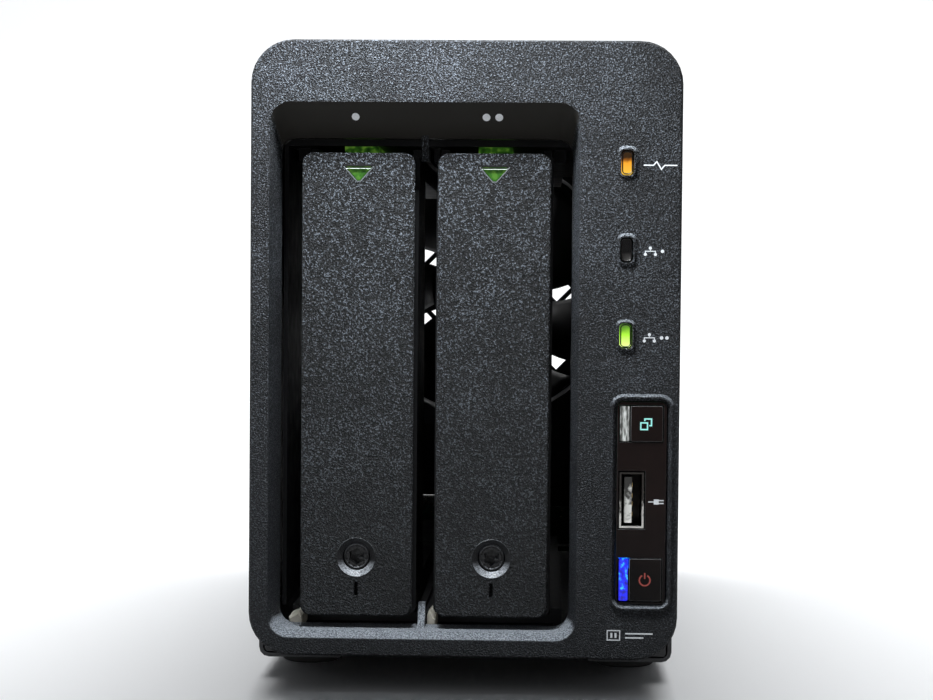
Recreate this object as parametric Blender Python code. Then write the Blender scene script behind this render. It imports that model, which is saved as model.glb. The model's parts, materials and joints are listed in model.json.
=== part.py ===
"""Two-bay network storage enclosure: a steel body on four feet, a moulded front bezel with
two pull-out drive trays, a control strip, and a rear panel with a 92 mm fan and sockets.

Frame: +Z up, the front faces -Y, and the origin is on the desk under the middle of the body.
All sizes below are in millimetres; MM turns them into metres as each mesh is made.
"""

import math

import bmesh
import bpy

MM = 0.001
GAP = 0.3  # air left between two pieces that touch on the real object

# ---- driving dimensions -------------------------------------------------------------
WIDTH, DEPTH, HEIGHT = 103.5, 232.0, 157.0
HALF = WIDTH / 2
FRONT, REAR = -DEPTH / 2, DEPTH / 2
BODY_BOTTOM = 4.5
SHEET = 1.0
CORNER = 10.3
BODY_FOOT_R = 2.5

BEZEL_BOTTOM = 8.5
BEZEL_DEPTH = 20.0
BEZEL_WALL = 2.3
BEZEL_BACK = FRONT + BEZEL_DEPTH
RIM = 0.4  # how far the rims round the lights and the control strip stand out
FACE = FRONT + RIM

BAY_X = -9.7  # middle of the two drive bays
BAY_PITCH = 33.0
BAYS = {1: BAY_X - BAY_PITCH / 2, 2: BAY_X + BAY_PITCH / 2}
RECESS_MOUTH = (-47.2, 27.4, 12.6, 142.15)  # x0, x1, z0, z1 on the front face
RECESS_THROAT = (-45.6, 25.8, 14.5, 134.0)  # the same, ten millimetres in
RECESS_DEEP = 10.0
SILL_DEEP = 3.0  # the bottom of the recess slopes only this far in, then runs level

TRAY_FACE = FRONT + 6.0
TRAY_BACK = 50.0
TRAY_MIDDLE = 74.0  # height of each tray's own origin
DOOR_HALF, DOOR_BOTTOM, DOOR_TOP = 13.7, 17.4, 130.3
DOOR_REAR = TRAY_FACE + 5.8
HINGE_Y, HINGE_Z = TRAY_FACE + 5.4, 126.0
LOCK_Z = 31.8
LATCH_Z = 22.5
BLOCK_HALF, BLOCK_FRONT, BLOCK_BACK = 14.3, -103.6, -74.0
RAIL_HALF = 13.9
DRIVE_LOW, DRIVE_HIGH = 22.8, 125.2  # the two rail faces that a drive sits between
RAIL_LOW, RAIL_HIGH = 16.0, 132.4

LED_X, LED_SIZE = 38.65, (3.1, 6.05)
LED_Z = {"status": 128.0, "lan1": 107.15, "lan2": 86.6}
PANEL = (36.9, 48.7, 22.1, 70.7)
COPY_Z, POWER_Z = (61.3, 69.8), (22.85, 33.05)
BAR_X, KEY_X = (37.6, 39.8), (40.1, 47.8)
USB_X, USB_Z = 40.5, 47.15
FRONT_BOARD_Y = -103.4

PANEL_REAR_Y = 113.4
PANEL_REAR_T = 1.2
FAN_X, FAN_Z, FAN_SIZE, FAN_DEEP = 0.0, 97.0, 92.0, 25.0
FAN_HOLE_PITCH = 82.5
FAN_BACK = PANEL_REAR_Y - GAP
FAN_FRONT = FAN_BACK - FAN_DEEP
BLADE_MIDDLE = FAN_FRONT + 10.5
FAN_SCREW_TIP, COVER_SCREW_TIP = 107.0, 109.0
IO_BOARD_Z = 8.6
BOARD_T = 1.6
BACKPLANE_Y = 62.0
CAGE = (-46.0, 29.0)  # outer faces of the drive cage's side walls
GUIDE_BACK = 58.0
BASE_TOP = 7.1  # top of the base pan's floor, with the air above it

MATERIALS = {  # name: (red, green, blue), roughness, metallic
    "bezel_plastic": ((0.030, 0.031, 0.033), 0.55, 0.0),
    "door_plastic": ((0.026, 0.026, 0.028), 0.55, 0.0),
    "tray_plastic": ((0.018, 0.018, 0.019), 0.60, 0.0),
    "lock_plastic": ((0.020, 0.020, 0.021), 0.35, 0.0),
    "gloss_black": ((0.008, 0.007, 0.007), 0.08, 0.0),
    "painted_steel": ((0.025, 0.025, 0.027), 0.50, 0.3),
    "screw_steel": ((0.06, 0.06, 0.065), 0.35, 0.8),
    "pin_steel": ((0.55, 0.55, 0.56), 0.25, 1.0),
    "socket_steel": ((0.65, 0.65, 0.66), 0.28, 1.0),
    "aluminium": ((0.70, 0.71, 0.72), 0.40, 1.0),
    "rubber": ((0.022, 0.022, 0.022), 0.85, 0.0),
    "nylon": ((0.72, 0.68, 0.58), 0.50, 0.0),
    "circuit_board": ((0.02, 0.10, 0.05), 0.45, 0.0),
    "socket_plastic": ((0.02, 0.02, 0.02), 0.45, 0.0),
    "usb_white": ((0.75, 0.74, 0.70), 0.45, 0.0),
    "usb_blue": ((0.02, 0.14, 0.60), 0.45, 0.0),
    "lens_amber": ((0.95, 0.50, 0.05), 0.20, 0.0),
    "lens_dark": ((0.05, 0.05, 0.05), 0.20, 0.0),
    "lens_green": ((0.45, 0.90, 0.20), 0.20, 0.0),
    "lens_blue": ((0.05, 0.12, 0.95), 0.20, 0.0),
    "lens_clear": ((0.75, 0.76, 0.74), 0.20, 0.0),
    "tray_lens": ((0.20, 0.50, 0.08), 0.20, 0.0),
    "fan_plastic": ((0.015, 0.015, 0.016), 0.45, 0.0),
}


# ---- outlines: lists of two-number points, counter-clockwise --------------------------
def arc(u, v, r, start, end, steps):
    """Points on an arc from start to end, in degrees, both ends included."""
    angles = [math.radians(start + (end - start) * i / steps) for i in range(steps + 1)]
    return [(u + r * math.cos(a), v + r * math.sin(a)) for a in angles]


def circle(u, v, r, steps=24):
    return arc(u, v, r, 0, 360, steps)[:-1]


def rectangle(u0, u1, v0, v1):
    return [(u0, v0), (u1, v0), (u1, v1), (u0, v1)]


def rounded(u0, u1, v0, v1, radii, steps=3):
    """A rectangle with round corners. radii is one number, or (lower, upper)."""
    low, high = radii if isinstance(radii, tuple) else (radii, radii)
    return (
        arc(u0 + low, v0 + low, low, 180, 270, steps)
        + arc(u1 - low, v0 + low, low, 270, 360, steps)
        + arc(u1 - high, v1 - high, high, 0, 90, steps)
        + arc(u0 + high, v1 - high, high, 90, 180, steps)
    )


def star(u, v, r_out, r_in, lobes):
    points = []
    for i in range(2 * lobes):
        r = r_in if i % 2 else r_out
        a = math.pi * i / lobes
        points.append((u + r * math.cos(a), v + r * math.sin(a)))
    return points


def lug_outline(y, z, r, end):
    """A (y, z) outline: half a disc behind the pivot, running straight forward to y = end."""
    return arc(y, z, r, -90, 90, 8) + [(end, z + r), (end, z - r)]


def ear_outline(y, z, r, top, end):
    """A (y, z) outline: a disc round the pivot, on an arm that runs back to y = end.

    The arm rises only to z + top, which leaves room above it for the turning door.
    """
    start = math.degrees(math.asin(top / r))
    return arc(y, z, r, start, 270, 12) + [(end, z - r), (end, z + top)]


# ---- solids: (points, faces) in millimetres -------------------------------------------
def at(axis, u, v, w):
    return {"X": (w, u, v), "Y": (u, w, v), "Z": (u, v, w)}[axis]


def loft(axis, *sections):
    """A closed solid through (height, outline) sections with equal numbers of points."""
    points, faces = [], []
    count = len(sections[0][1])
    for height, outline in sections:
        points += [at(axis, u, v, height) for u, v in outline]
    for k in range(len(sections) - 1):
        for i in range(count):
            j = (i + 1) % count
            low, high = k * count, (k + 1) * count
            faces.append((low + i, low + j, high + j, high + i))
    faces.append(tuple(range(count)))
    faces.append(tuple(range((len(sections) - 1) * count, len(sections) * count)))
    return points, faces


def prism(axis, outline, low, high):
    return loft(axis, (low, outline), (high, outline))


def box(x0, x1, y0, y1, z0, z1):
    return prism("Z", rectangle(x0, x1, y0, y1), z0, z1)


def turned(axis, u, v, profile, steps=20):
    """A solid of revolution from (height, radius) pairs."""
    return loft(axis, *[(h, circle(u, v, r, steps)) for h, r in profile])


# ---- Blender objects -------------------------------------------------------------------
def clear_scene():
    for obj in list(bpy.data.objects):
        bpy.data.objects.remove(obj)


def material(name):
    found = bpy.data.materials.get(name)
    if found:
        return found
    colour, roughness, metallic = MATERIALS[name]
    made = bpy.data.materials.new(name)
    made.use_nodes = True
    shader = made.node_tree.nodes["Principled BSDF"]
    shader.inputs["Base Color"].default_value = (*colour, 1.0)
    shader.inputs["Roughness"].default_value = roughness
    shader.inputs["Metallic"].default_value = metallic
    return made


def mesh_object(name, solids, origin=(0.0, 0.0, 0.0)):
    """One object holding the solids, with its own origin at that point of the frame."""
    graph = bmesh.new()
    for points, faces in solids:
        made = [
            graph.verts.new([(p - o) * MM for p, o in zip(point, origin)])
            for point in points
        ]
        for face in faces:
            graph.faces.new([made[i] for i in face])
    bmesh.ops.recalc_face_normals(graph, faces=graph.faces)
    mesh = bpy.data.meshes.new(name)
    graph.to_mesh(mesh)
    graph.free()
    obj = bpy.data.objects.new(name, mesh)
    bpy.context.scene.collection.objects.link(obj)
    obj.location = [o * MM for o in origin]
    return obj


def boolean(obj, operation, solids):
    """Joins or cuts obj with solids that don't touch each other."""
    label = f"{obj.name}_{operation.lower()}_{len(obj.modifiers)}"
    helper = mesh_object(label, solids)
    helper.hide_render = True
    helper.display_type = "WIRE"
    modifier = obj.modifiers.new(operation.title(), "BOOLEAN")
    modifier.operation = operation
    modifier.object = helper
    modifier.solver = "EXACT"


def part(name, finish, base, steps=(), origin=(0.0, 0.0, 0.0), parent=None):
    """A named node. steps is a list of ("UNION" or "DIFFERENCE", [solids])."""
    obj = mesh_object(name, [base], origin)
    obj.data.materials.append(material(finish))
    for operation, solids in steps:
        boolean(obj, operation, solids)
    obj.data.shade_smooth()
    obj.data.set_sharp_from_angle(angle=math.radians(30))
    if parent:
        obj.parent = parent
        obj.location = [
            o * MM - p for o, p in zip(origin, parent.matrix_world.translation)
        ]
    return obj


def joint_empty(name, point, parent=None):
    """An empty on a joint's axis, for the pieces that move with it."""
    empty = bpy.data.objects.new(name, None)
    bpy.context.scene.collection.objects.link(empty)
    empty.location = [p * MM for p in point]
    if parent:
        empty.location = [
            p * MM - q for p, q in zip(point, parent.matrix_world.translation)
        ]
        empty.parent = parent
    bpy.context.view_layer.update()
    return empty


# ---- body ------------------------------------------------------------------------------
def grown(rect, by):
    x0, x1, z0, z1 = rect
    return x0 - by, x1 + by, z0 - by, z1 + by


def between(a, b, share):
    return tuple(p + (q - p) * share for p, q in zip(a, b))


def front_bezel():
    steps = 8
    face = (-HALF, HALF, BEZEL_BOTTOM, HEIGHT)
    edge = 0.5
    shell = loft(
        "Y",
        (FACE, rounded(*grown(face, -edge), CORNER - edge, steps)),
        (FACE + edge, rounded(*face, CORNER, steps)),
        (BEZEL_BACK, rounded(*face, CORNER, steps)),
    )
    wall, skin = BEZEL_WALL, 2.8
    hollow = prism(
        "Y", rounded(*grown(face, -wall), CORNER - wall, steps), FRONT + skin, BEZEL_BACK + 1
    )
    funnel = prism(
        "Y",
        rounded(-HALF + 1, 29.0, BEZEL_BOTTOM + 1, 144.4, (CORNER - 1, 6.5), 4),
        FRONT + skin - 0.4,
        FRONT + RECESS_DEEP + 3.0,
    )
    past = between(RECESS_MOUTH, RECESS_THROAT, -0.1)
    part_way = between(RECESS_MOUTH, RECESS_THROAT, SILL_DEEP / RECESS_DEEP)
    sill = (*part_way[:2], RECESS_THROAT[2] - 0.1, part_way[3])
    recess = loft(
        "Y",
        (FACE - 1.0, rounded(*past, 5.1, 5)),
        (FACE, rounded(*RECESS_MOUTH, 5.0, 5)),
        (FRONT + SILL_DEEP, rounded(*sill, 4.6, 5)),
        (FRONT + RECESS_DEEP, rounded(*RECESS_THROAT, 3.7, 5)),
        (FRONT + RECESS_DEEP + 4.0, rounded(*RECESS_THROAT, 3.7, 5)),
    )
    windows = [led_window(z) for z in LED_Z.values()]
    outer, inner = grown(PANEL, 1.0), grown(PANEL, GAP)
    strip = loft(
        "Y",
        (FRONT - 0.5, rounded(*grown(outer, 0.3), 2.8)),
        (FRONT, rounded(*outer, 2.5)),
        (FRONT + 0.9, rounded(*inner, 1.7)),
        (FRONT + 4, rounded(*inner, 1.7)),
    )
    rims = [rim(window, 0.9) for window in windows] + [rim(outer, 2.5)]
    openings = [prism("Y", rounded(*window, 0.9, 3), FRONT - 1, FRONT + 4) for window in windows]
    part(
        "front_bezel", "bezel_plastic", shell,
        [
            ("DIFFERENCE", [hollow]),
            ("UNION", [funnel, *rims]),
            ("DIFFERENCE", [recess, strip, *openings]),
            ("UNION", centre_ribs()),
        ],
    )


def led_window(z):
    w, h = LED_SIZE[0] / 2, LED_SIZE[1] / 2
    return LED_X - w, LED_X + w, z - h, z + h


def rim(rect, radius):
    """A low rim round a rectangular opening, sloping down to the face all round."""
    crest, foot = 0.35, 1.0
    return loft(
        "Y",
        (FRONT, rounded(*grown(rect, crest), radius + crest, 4)),
        (FACE, rounded(*grown(rect, foot), radius + foot, 4)),
        (FACE + 0.4, rounded(*grown(rect, foot), radius + foot, 4)),
    )


def centre_ribs():
    """A thin rib above and one below, between the two bays. Their front edges slope."""
    x, half, back = BAY_X - 0.6, 0.85, FRONT + 12.8
    top = [(FRONT + 9.0, 135.0), (back, 135.0), (back, 128.5), (FRONT + 11.0, 128.5)]
    foot = [(FRONT + 6.0, 13.5), (back, 13.5), (back, 20.2), (FRONT + 11.4, 20.2)]
    return [prism("X", outline, x - half, x + half) for outline in (top, foot)]


def cover_outline():
    """The bent sheet seen from the front: two flanges, two sides and the roof."""
    flange = 31.0

    def path(inset):
        low, high = BODY_FOOT_R - inset, CORNER - inset
        x, bottom, top = HALF - inset, BODY_BOTTOM + inset, HEIGHT - inset
        return (
            [(-flange, bottom)]
            + arc(-x + low, bottom + low, low, 270, 180, 3)
            + arc(-x + high, top - high, high, 180, 90, 8)
            + arc(x - high, top - high, high, 90, 0, 8)
            + arc(x - low, bottom + low, low, 0, -90, 3)
            + [(flange, bottom)]
        )

    return path(0.0) + path(SHEET)[::-1]


def outer_cover():
    """Each side has a grid of tall slots for cooling air."""
    slot_w, slot_h = 9.6, 18.2
    slots = []
    for column in range(5):
        for row in range(4):
            y, z = -36.0 + 15.0 * column, 24.0 + 20.2 * row
            outline = rounded(
                y - slot_w / 2, y + slot_w / 2, z - slot_h / 2, z + slot_h / 2, 2.4, 2
            )
            slots.append(prism("X", outline, -HALF - 5, HALF + 5))
    sheet = prism("Y", cover_outline(), BEZEL_BACK + GAP, REAR)
    part("outer_cover", "painted_steel", sheet, [("DIFFERENCE", slots)])


def base_pan():
    """A shallow steel tray inside the cover, on top of its flanges, closed at the front."""
    x, low, high = HALF - SHEET - 0.35, BODY_BOTTOM + SHEET + GAP, 16.0
    turn = 0.6
    outline = [
        (-x + turn, low), (x - turn, low), (x, low + turn), (x, high),
        (x - SHEET, high), (x - SHEET, low + SHEET),
        (-x + SHEET, low + SHEET), (-x + SHEET, high), (-x, high), (-x, low + turn),
    ]
    front = BEZEL_BACK + 0.5
    end_wall = box(-x + 0.5, x - 0.5, front, front + SHEET, low + 0.3, 12.8)
    part(
        "base_pan", "painted_steel", prism("Y", outline, front, 112.9),
        [("UNION", [end_wall])],
    )


def feet():
    for side, x in (("left", -41.0), ("right", 41.0)):
        for end, y in (("front", -72.0), ("rear", 98.0)):
            top = BODY_BOTTOM - GAP
            puck = turned("Z", x, y, [(0.0, 7.3), (0.7, 8.0), (top, 8.0)], 24)
            part(f"foot_{end}_{side}", "rubber", puck)


def diamond_holes(radius, pitch, bar):
    """Square holes turned on their points, in rows that fill a disc round the fan's axis."""
    half = (pitch - bar) / math.sqrt(2)
    step = pitch / math.sqrt(2)
    reach = int(radius / step) + 1
    holes = []
    for i in range(-reach, reach + 1):
        for j in range(-reach, reach + 1):
            if (i + j) % 2:
                continue
            u, v = i * step, j * step
            if math.hypot(abs(u) + half, abs(v)) < radius and math.hypot(u, abs(v) + half) < radius:
                x, z = FAN_X + u, FAN_Z + v
                holes.append([(x, z - half), (x + half, z), (x, z + half), (x - half, z)])
    return holes


SOCKETS = {  # name: (x middle, z low, width, height)
    "power_inlet": (-39.5, 10.5, 9.4, 11.0),
    "lan_jack_1": (-22.5, 10.5, 16.2, 13.6),
    "lan_jack_2": (-4.5, 10.5, 16.2, 13.6),
    "usb3_port_stack": (14.0, 10.5, 14.4, 15.8),
    "esata_port": (32.0, 10.5, 17.0, 7.6),
}
SOCKET_FRONT, SOCKET_BACK = PANEL_REAR_Y + PANEL_REAR_T + 0.5, 96.0
RESET_X, RESET_Z = 45.0, 17.0
COVER_SCREWS = {"left": -44.5, "right": 44.5}
COVER_SCREW_Z = 149.0
LOCK_SLOT = (-47.5, -40.5, 33.0, 36.0)


def fan_corners():
    half = FAN_HOLE_PITCH / 2
    return [
        (FAN_X + sx * half, FAN_Z + sz * half)
        for sx, sz in ((-1, -1), (1, -1), (1, 1), (-1, 1))
    ]


def rear_panel():
    inset = SHEET + 0.35
    sheet = prism(
        "Y",
        rounded(
            -HALF + inset, HALF - inset, BASE_TOP, HEIGHT - inset, (1.0, CORNER - inset), 6
        ),
        PANEL_REAR_Y,
        PANEL_REAR_Y + PANEL_REAR_T,
    )
    outlines = diamond_holes(43.0, 8.4, 1.6)
    clear = 0.4
    for x, z, w, h in SOCKETS.values():
        outlines.append(
            rectangle(x - w / 2 - clear, x + w / 2 + clear, z - clear, z + h + clear)
        )
    outlines += [circle(x, z, 2.2, 10) for x, z in fan_corners()]
    outlines += [circle(x, COVER_SCREW_Z, 2.0, 10) for x in COVER_SCREWS.values()]
    outlines.append(circle(RESET_X, RESET_Z, 1.1, 10))
    outlines.append(rounded(*LOCK_SLOT, 1.0, 2))
    cuts = [prism("Y", o, PANEL_REAR_Y - 2, REAR + 2) for o in outlines]
    part("rear_panel", "painted_steel", sheet, [("DIFFERENCE", cuts)])


def screw(name, x, z, tip):
    seat = PANEL_REAR_Y + PANEL_REAR_T + GAP
    profile = [(tip, 1.2), (tip + 0.5, 1.6), (seat, 1.6), (seat, 3.3), (REAR - 0.4, 3.3), (REAR, 2.6)]
    part(name, "screw_steel", turned("Y", x, z, profile, 12))


# ---- inside the body -------------------------------------------------------------------
def guide_lips():
    """x ranges of the four upright lips that steer the two trays, left to right."""
    inner, outer, end = 14.6, 16.0, 17.5
    first, second = BAYS[1], BAYS[2]
    return [
        (first - end, first - inner), (first + inner, first + outer),
        (second - outer, second - inner), (second + inner, second + end),
    ]


def guide_nose(bay, left, peak, back):
    """A blunt wedge at the left of a bay. It passes under the tray's rail and beside it."""
    c, under = BAYS[bay], RAIL_LOW - 0.35
    low = under - 2.2

    def section(inset):
        return [
            (left + inset, low), (c - 13.7 - inset, low), (c - 13.7 - inset, under - 0.5),
            (c - 14.0 - inset, under), (c - 14.25 - inset, under),
            (c - 14.65 - inset, peak - 0.4 - inset), (c - 15.1, peak - inset),
            (left + inset, peak - 1.2 - inset),
        ]

    return loft("Y", (-101.5, section(0.4)), (-100.6, section(0.0)), (back, section(0.0)))


def lower_guide():
    """A plate under the trays, on legs, with lips beside the rails and a nose at each bay."""
    floor, plate, lip = RAIL_LOW - 0.4, 2.3, 1.5
    front, back = -92.0, GUIDE_BACK
    lips = guide_lips()
    left, right = lips[0][0], lips[-1][1]
    rails = [box(a, b, front - 0.01, back + 0.01, floor - 1, floor + lip) for a, b in lips]
    half = 0.8
    legs = [
        box(x - half, x + half, front + 1, back - 1, BASE_TOP, floor - 1)
        for x in (left + 1, BAY_X, right - 1)
    ]
    noses = [
        guide_nose(1, left, 16.7, front + 1),
        guide_nose(2, lips[2][0], 17.5, front + 1),
    ]
    part(
        "lower_guide", "nylon", box(left, right, front, back, floor - plate, floor),
        [("UNION", rails), ("UNION", legs), ("UNION", noses)],
    )


def drive_cage():
    """A steel cage over the trays: a roof with steering lips, two side walls, and legs."""
    ceiling, plate, wall = RAIL_HIGH + 0.4, 2.3, 1.0
    x0, x1 = CAGE
    front, back, low = BEZEL_BACK + 0.8, GUIDE_BACK, 17.6
    lip_front, lip_drop = -84.0, 3.2
    rails = [
        box(a, b, lip_front, back + 0.01, ceiling - lip_drop, ceiling + 1)
        for a, b in guide_lips()
    ]
    sides = [
        box(a, b, front + 0.01, back - 0.01, low, ceiling + 1)
        for a, b in ((x0, x0 + wall), (x1 - wall, x1))
    ]
    half, aside = 0.8, 5.0
    legs = [
        box(x - half, x + half, front + 10, back - 1, ceiling + 1, HEIGHT - SHEET - 0.4)
        for x in (x0 + aside, BAY_X, x1 - aside)
    ]
    half_y, half_z = 6.0, 11.0
    windows = [
        prism("X", rounded(y - half_y, y + half_y, z - half_z, z + half_z, 3.0), x0 - 2, x1 + 2)
        for y in (10, 27, 44)
        for z in (36, 63, 90)
    ]
    part(
        "drive_cage", "painted_steel", box(x0, x1, front, back, ceiling, ceiling + plate),
        [("UNION", rails + sides), ("UNION", legs), ("DIFFERENCE", windows)],
    )


SATA_X = {bay: x - 9.5 for bay, x in BAYS.items()}
SATA_Z = (28.0, 72.0)


def backplane():
    """A comb-shaped board: one upright tab behind each drive, with air passing between."""
    tab = 6.6
    low, strip, high = 14.0, 26.0, 76.0
    (a, b), (c, d) = [(x - tab, x + tab) for x in SATA_X.values()]
    outline = [
        (a, low), (41.0, low), (41.0, strip), (d, strip), (d, high), (c, high),
        (c, strip), (b, strip), (b, high), (a, high),
    ]
    part(
        "sata_backplane", "circuit_board",
        prism("Y", outline, BACKPLANE_Y, BACKPLANE_Y + BOARD_T),
    )
    for bay, x in SATA_X.items():
        face = BACKPLANE_Y - 9.2
        body = box(x - 3.4, x + 3.4, face, BACKPLANE_Y - GAP, *SATA_Z)
        slots = [
            box(x - 1.3, x + 1.3, face - 1, face + 6, SATA_Z[0] + 2.0, SATA_Z[0] + 25.0),
            box(x - 1.3, x + 1.3, face - 1, face + 6, SATA_Z[0] + 27.5, SATA_Z[1] - 2.0),
        ]
        part(f"sata_connector_{bay}", "socket_plastic", body, [("DIFFERENCE", slots)])


MAIN_BOARD_X = 44.2


def main_board():
    board = box(MAIN_BOARD_X, MAIN_BOARD_X + BOARD_T, -88.0, 84.0, 14.0, 148.0)
    part("main_board", "circuit_board", board)
    top = MAIN_BOARD_X - GAP
    base = box(top - 2.4, top, 15.0, 55.0, 92.0, 132.0)
    fins = [
        box(top - 10.4, top - 2.0, 15.5, 54.5, z, z + 1.3)
        for z in [92.6 + 4.68 * i for i in range(9)]
    ]
    part("cpu_heatsink", "aluminium", base, [("UNION", fins)])
    socket = box(top - 4.6, top, -52.0, 19.6, 37.0, 42.0)
    card = box(top - 3.6, top - 2.4, -50.0, 17.6, 41.0, 70.0)
    chips = [
        box(top - 4.6, top - 3.3, y, y + 12.0, 50.0, 61.0)
        for y in (-47.0, -31.0, -15.0, 1.0)
    ]
    part("memory_module", "circuit_board", socket, [("UNION", [card]), ("UNION", chips)])


def rear_sockets():
    io_top = IO_BOARD_Z + BOARD_T
    housing = box(RESET_X - 3.6, 48.0, 99.0, 109.5, io_top - 0.2, RESET_Z + 3.6)
    bore = turned("Y", RESET_X, RESET_Z, [(102.5, 2.3), (110.5, 2.3)], 12)
    part(
        "rear_io_board", "circuit_board",
        box(-47.0, 48.0, 84.5, 112.8, IO_BOARD_Z, io_top),
        [("UNION", [housing]), ("DIFFERENCE", [bore])],
    )

    def body(name, back):
        x, z, w, h = SOCKETS[name]
        return box(x - w / 2, x + w / 2, back, SOCKET_FRONT, z, z + h)

    mouth = SOCKET_FRONT + 1
    x, z, w, h = SOCKETS["power_inlet"]
    bore = turned("Y", x, z + h / 2, [(SOCKET_FRONT - 9, 3.2), (mouth, 3.2)], 20)
    pin = turned("Y", x, z + h / 2, [(SOCKET_FRONT - 9.5, 1.0), (SOCKET_FRONT - 1.5, 1.0)], 12)
    part(
        "power_inlet", "socket_plastic", body("power_inlet", 101.0),
        [("DIFFERENCE", [bore]), ("UNION", [pin])],
    )
    for name in ("lan_jack_1", "lan_jack_2"):
        x, z, w, h = SOCKETS[name]
        throat = box(x - 5.9, x + 5.9, SOCKET_FRONT - 13, mouth, z + 3.0, z + 10.6)
        tongue = box(x - 3.2, x + 3.2, SOCKET_FRONT - 12, mouth + 0.1, z + 1.2, z + 3.1)
        part(
            name, "socket_steel", body(name, SOCKET_BACK),
            [("DIFFERENCE", [throat]), ("DIFFERENCE", [tongue])],
        )
    x, z, w, h = SOCKETS["usb3_port_stack"]
    levels = {"lower": z + 1.2, "upper": z + 9.0}
    mouths = [
        box(x - 6.3, x + 6.3, SOCKET_FRONT - 10, mouth, low, low + 5.6)
        for low in levels.values()
    ]
    part(
        "usb3_port_stack", "socket_steel", body("usb3_port_stack", SOCKET_BACK + 2),
        [("DIFFERENCE", mouths)],
    )
    for level, low in levels.items():
        part(
            f"usb3_tongue_{level}", "usb_blue",
            box(x - 5.6, x + 5.6, SOCKET_FRONT - 9.7, SOCKET_FRONT - 1.0, low + 3.0, low + 4.9),
        )
    x, z, w, h = SOCKETS["esata_port"]
    ring = box(x - 6.4, x + 6.4, SOCKET_FRONT - 6, mouth, z + 1.6, z + 6.0)
    blade = box(x - 5.2, x + 5.2, SOCKET_FRONT - 6.5, SOCKET_FRONT - 0.8, z + 3.3, z + 4.6)
    part(
        "esata_port", "socket_steel", body("esata_port", SOCKET_BACK + 2),
        [("DIFFERENCE", [ring]), ("UNION", [blade])],
    )
    part(
        "reset_button", "gloss_black",
        turned("Y", RESET_X, RESET_Z, [(104.0, 2.0), (109.0, 2.0), (109.0, 0.8), (113.0, 0.8)], 12),
        origin=(RESET_X, 109.0, RESET_Z),
    )


# ---- front controls --------------------------------------------------------------------
def led_lens(name, finish):
    z = LED_Z[name]
    w, h = LED_SIZE[0] / 2 - GAP, LED_SIZE[1] / 2 - GAP
    outline = rounded(LED_X - w, LED_X + w, z - h, z + h, 0.6, 3)
    rod = prism("Y", outline, FRONT + 1.5, FRONT_BOARD_Y - GAP)
    part(f"{name}_led_lens", finish, rod)


def usb_opening(clear):
    return USB_X - 3.0 - clear, USB_X + 3.0 + clear, USB_Z - 6.8 - clear, USB_Z + 6.8 + clear


def control_panel():
    clear = 0.25
    key_span = (BAR_X[0] - clear, KEY_X[1] + clear)
    openings = [
        prism("Y", rectangle(*usb_opening(clear)), FRONT - 1, FRONT + 8),
        prism("Y", rectangle(*key_span, COPY_Z[0] - clear, COPY_Z[1] + clear), FRONT - 1, FRONT + 8),
        prism("Y", rectangle(*key_span, POWER_Z[0] - clear, POWER_Z[1] + clear), FRONT - 1, FRONT + 8),
    ]
    plate = prism("Y", rounded(*PANEL, 1.4, 4), FRONT + 0.5, FRONT + 4.5)
    part("control_panel", "gloss_black", plate, [("DIFFERENCE", openings)])
    for name, finish, (z0, z1) in (
        ("copy", "lens_clear", COPY_Z),
        ("power", "lens_blue", POWER_Z),
    ):
        bar = prism(
            "Y", rounded(*BAR_X, z0, z1, 0.3, 2), FRONT + 0.45, FRONT_BOARD_Y - GAP
        )
        part(f"{name}_light_bar", finish, bar)
        key = prism("Y", rounded(*KEY_X, z0, z1, 0.3, 2), FRONT + 0.3, FRONT + 9.5)
        middle = ((KEY_X[0] + KEY_X[1]) / 2, FRONT + 0.3, (z0 + z1) / 2)
        part(f"{name}_button", "gloss_black", key, origin=middle)


def front_board():
    board = box(32.0, 49.2, FRONT_BOARD_Y, FRONT_BOARD_Y + BOARD_T, 18.0, 134.0)
    middle = (KEY_X[0] + KEY_X[1]) / 2
    switches = [
        box(middle - 2.2, middle + 2.2, FRONT_BOARD_Y - 1.8, FRONT_BOARD_Y + 0.5, z - 2.2, z + 2.2)
        for z in (sum(COPY_Z) / 2, sum(POWER_Z) / 2)
    ]
    part("front_io_board", "circuit_board", board, [("UNION", switches)])
    x0, x1, z0, z1 = usb_opening(-0.05)
    wall = 0.5
    back = FRONT_BOARD_Y - 0.4
    shell = box(x0, x1, FRONT + 0.6, back, z0, z1)
    room = box(x0 + wall, x1 - wall, FRONT - 1, back - 1.0, z0 + wall, z1 - wall)
    part("front_usb_shell", "socket_steel", shell, [("DIFFERENCE", [room])])
    tongue = box(
        x0 + wall + 0.7, x0 + wall + 2.55, FRONT + 1.4, back - 1.3, USB_Z - 5.55, USB_Z + 5.55
    )
    part("front_usb_tongue", "usb_white", tongue)


# ---- drive trays -----------------------------------------------------------------------
def mirrored(c, near, far):
    """Two x ranges, the same distance each side of a tray's middle."""
    return [(c - far, c - near), (c + near, c + far)]


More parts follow.
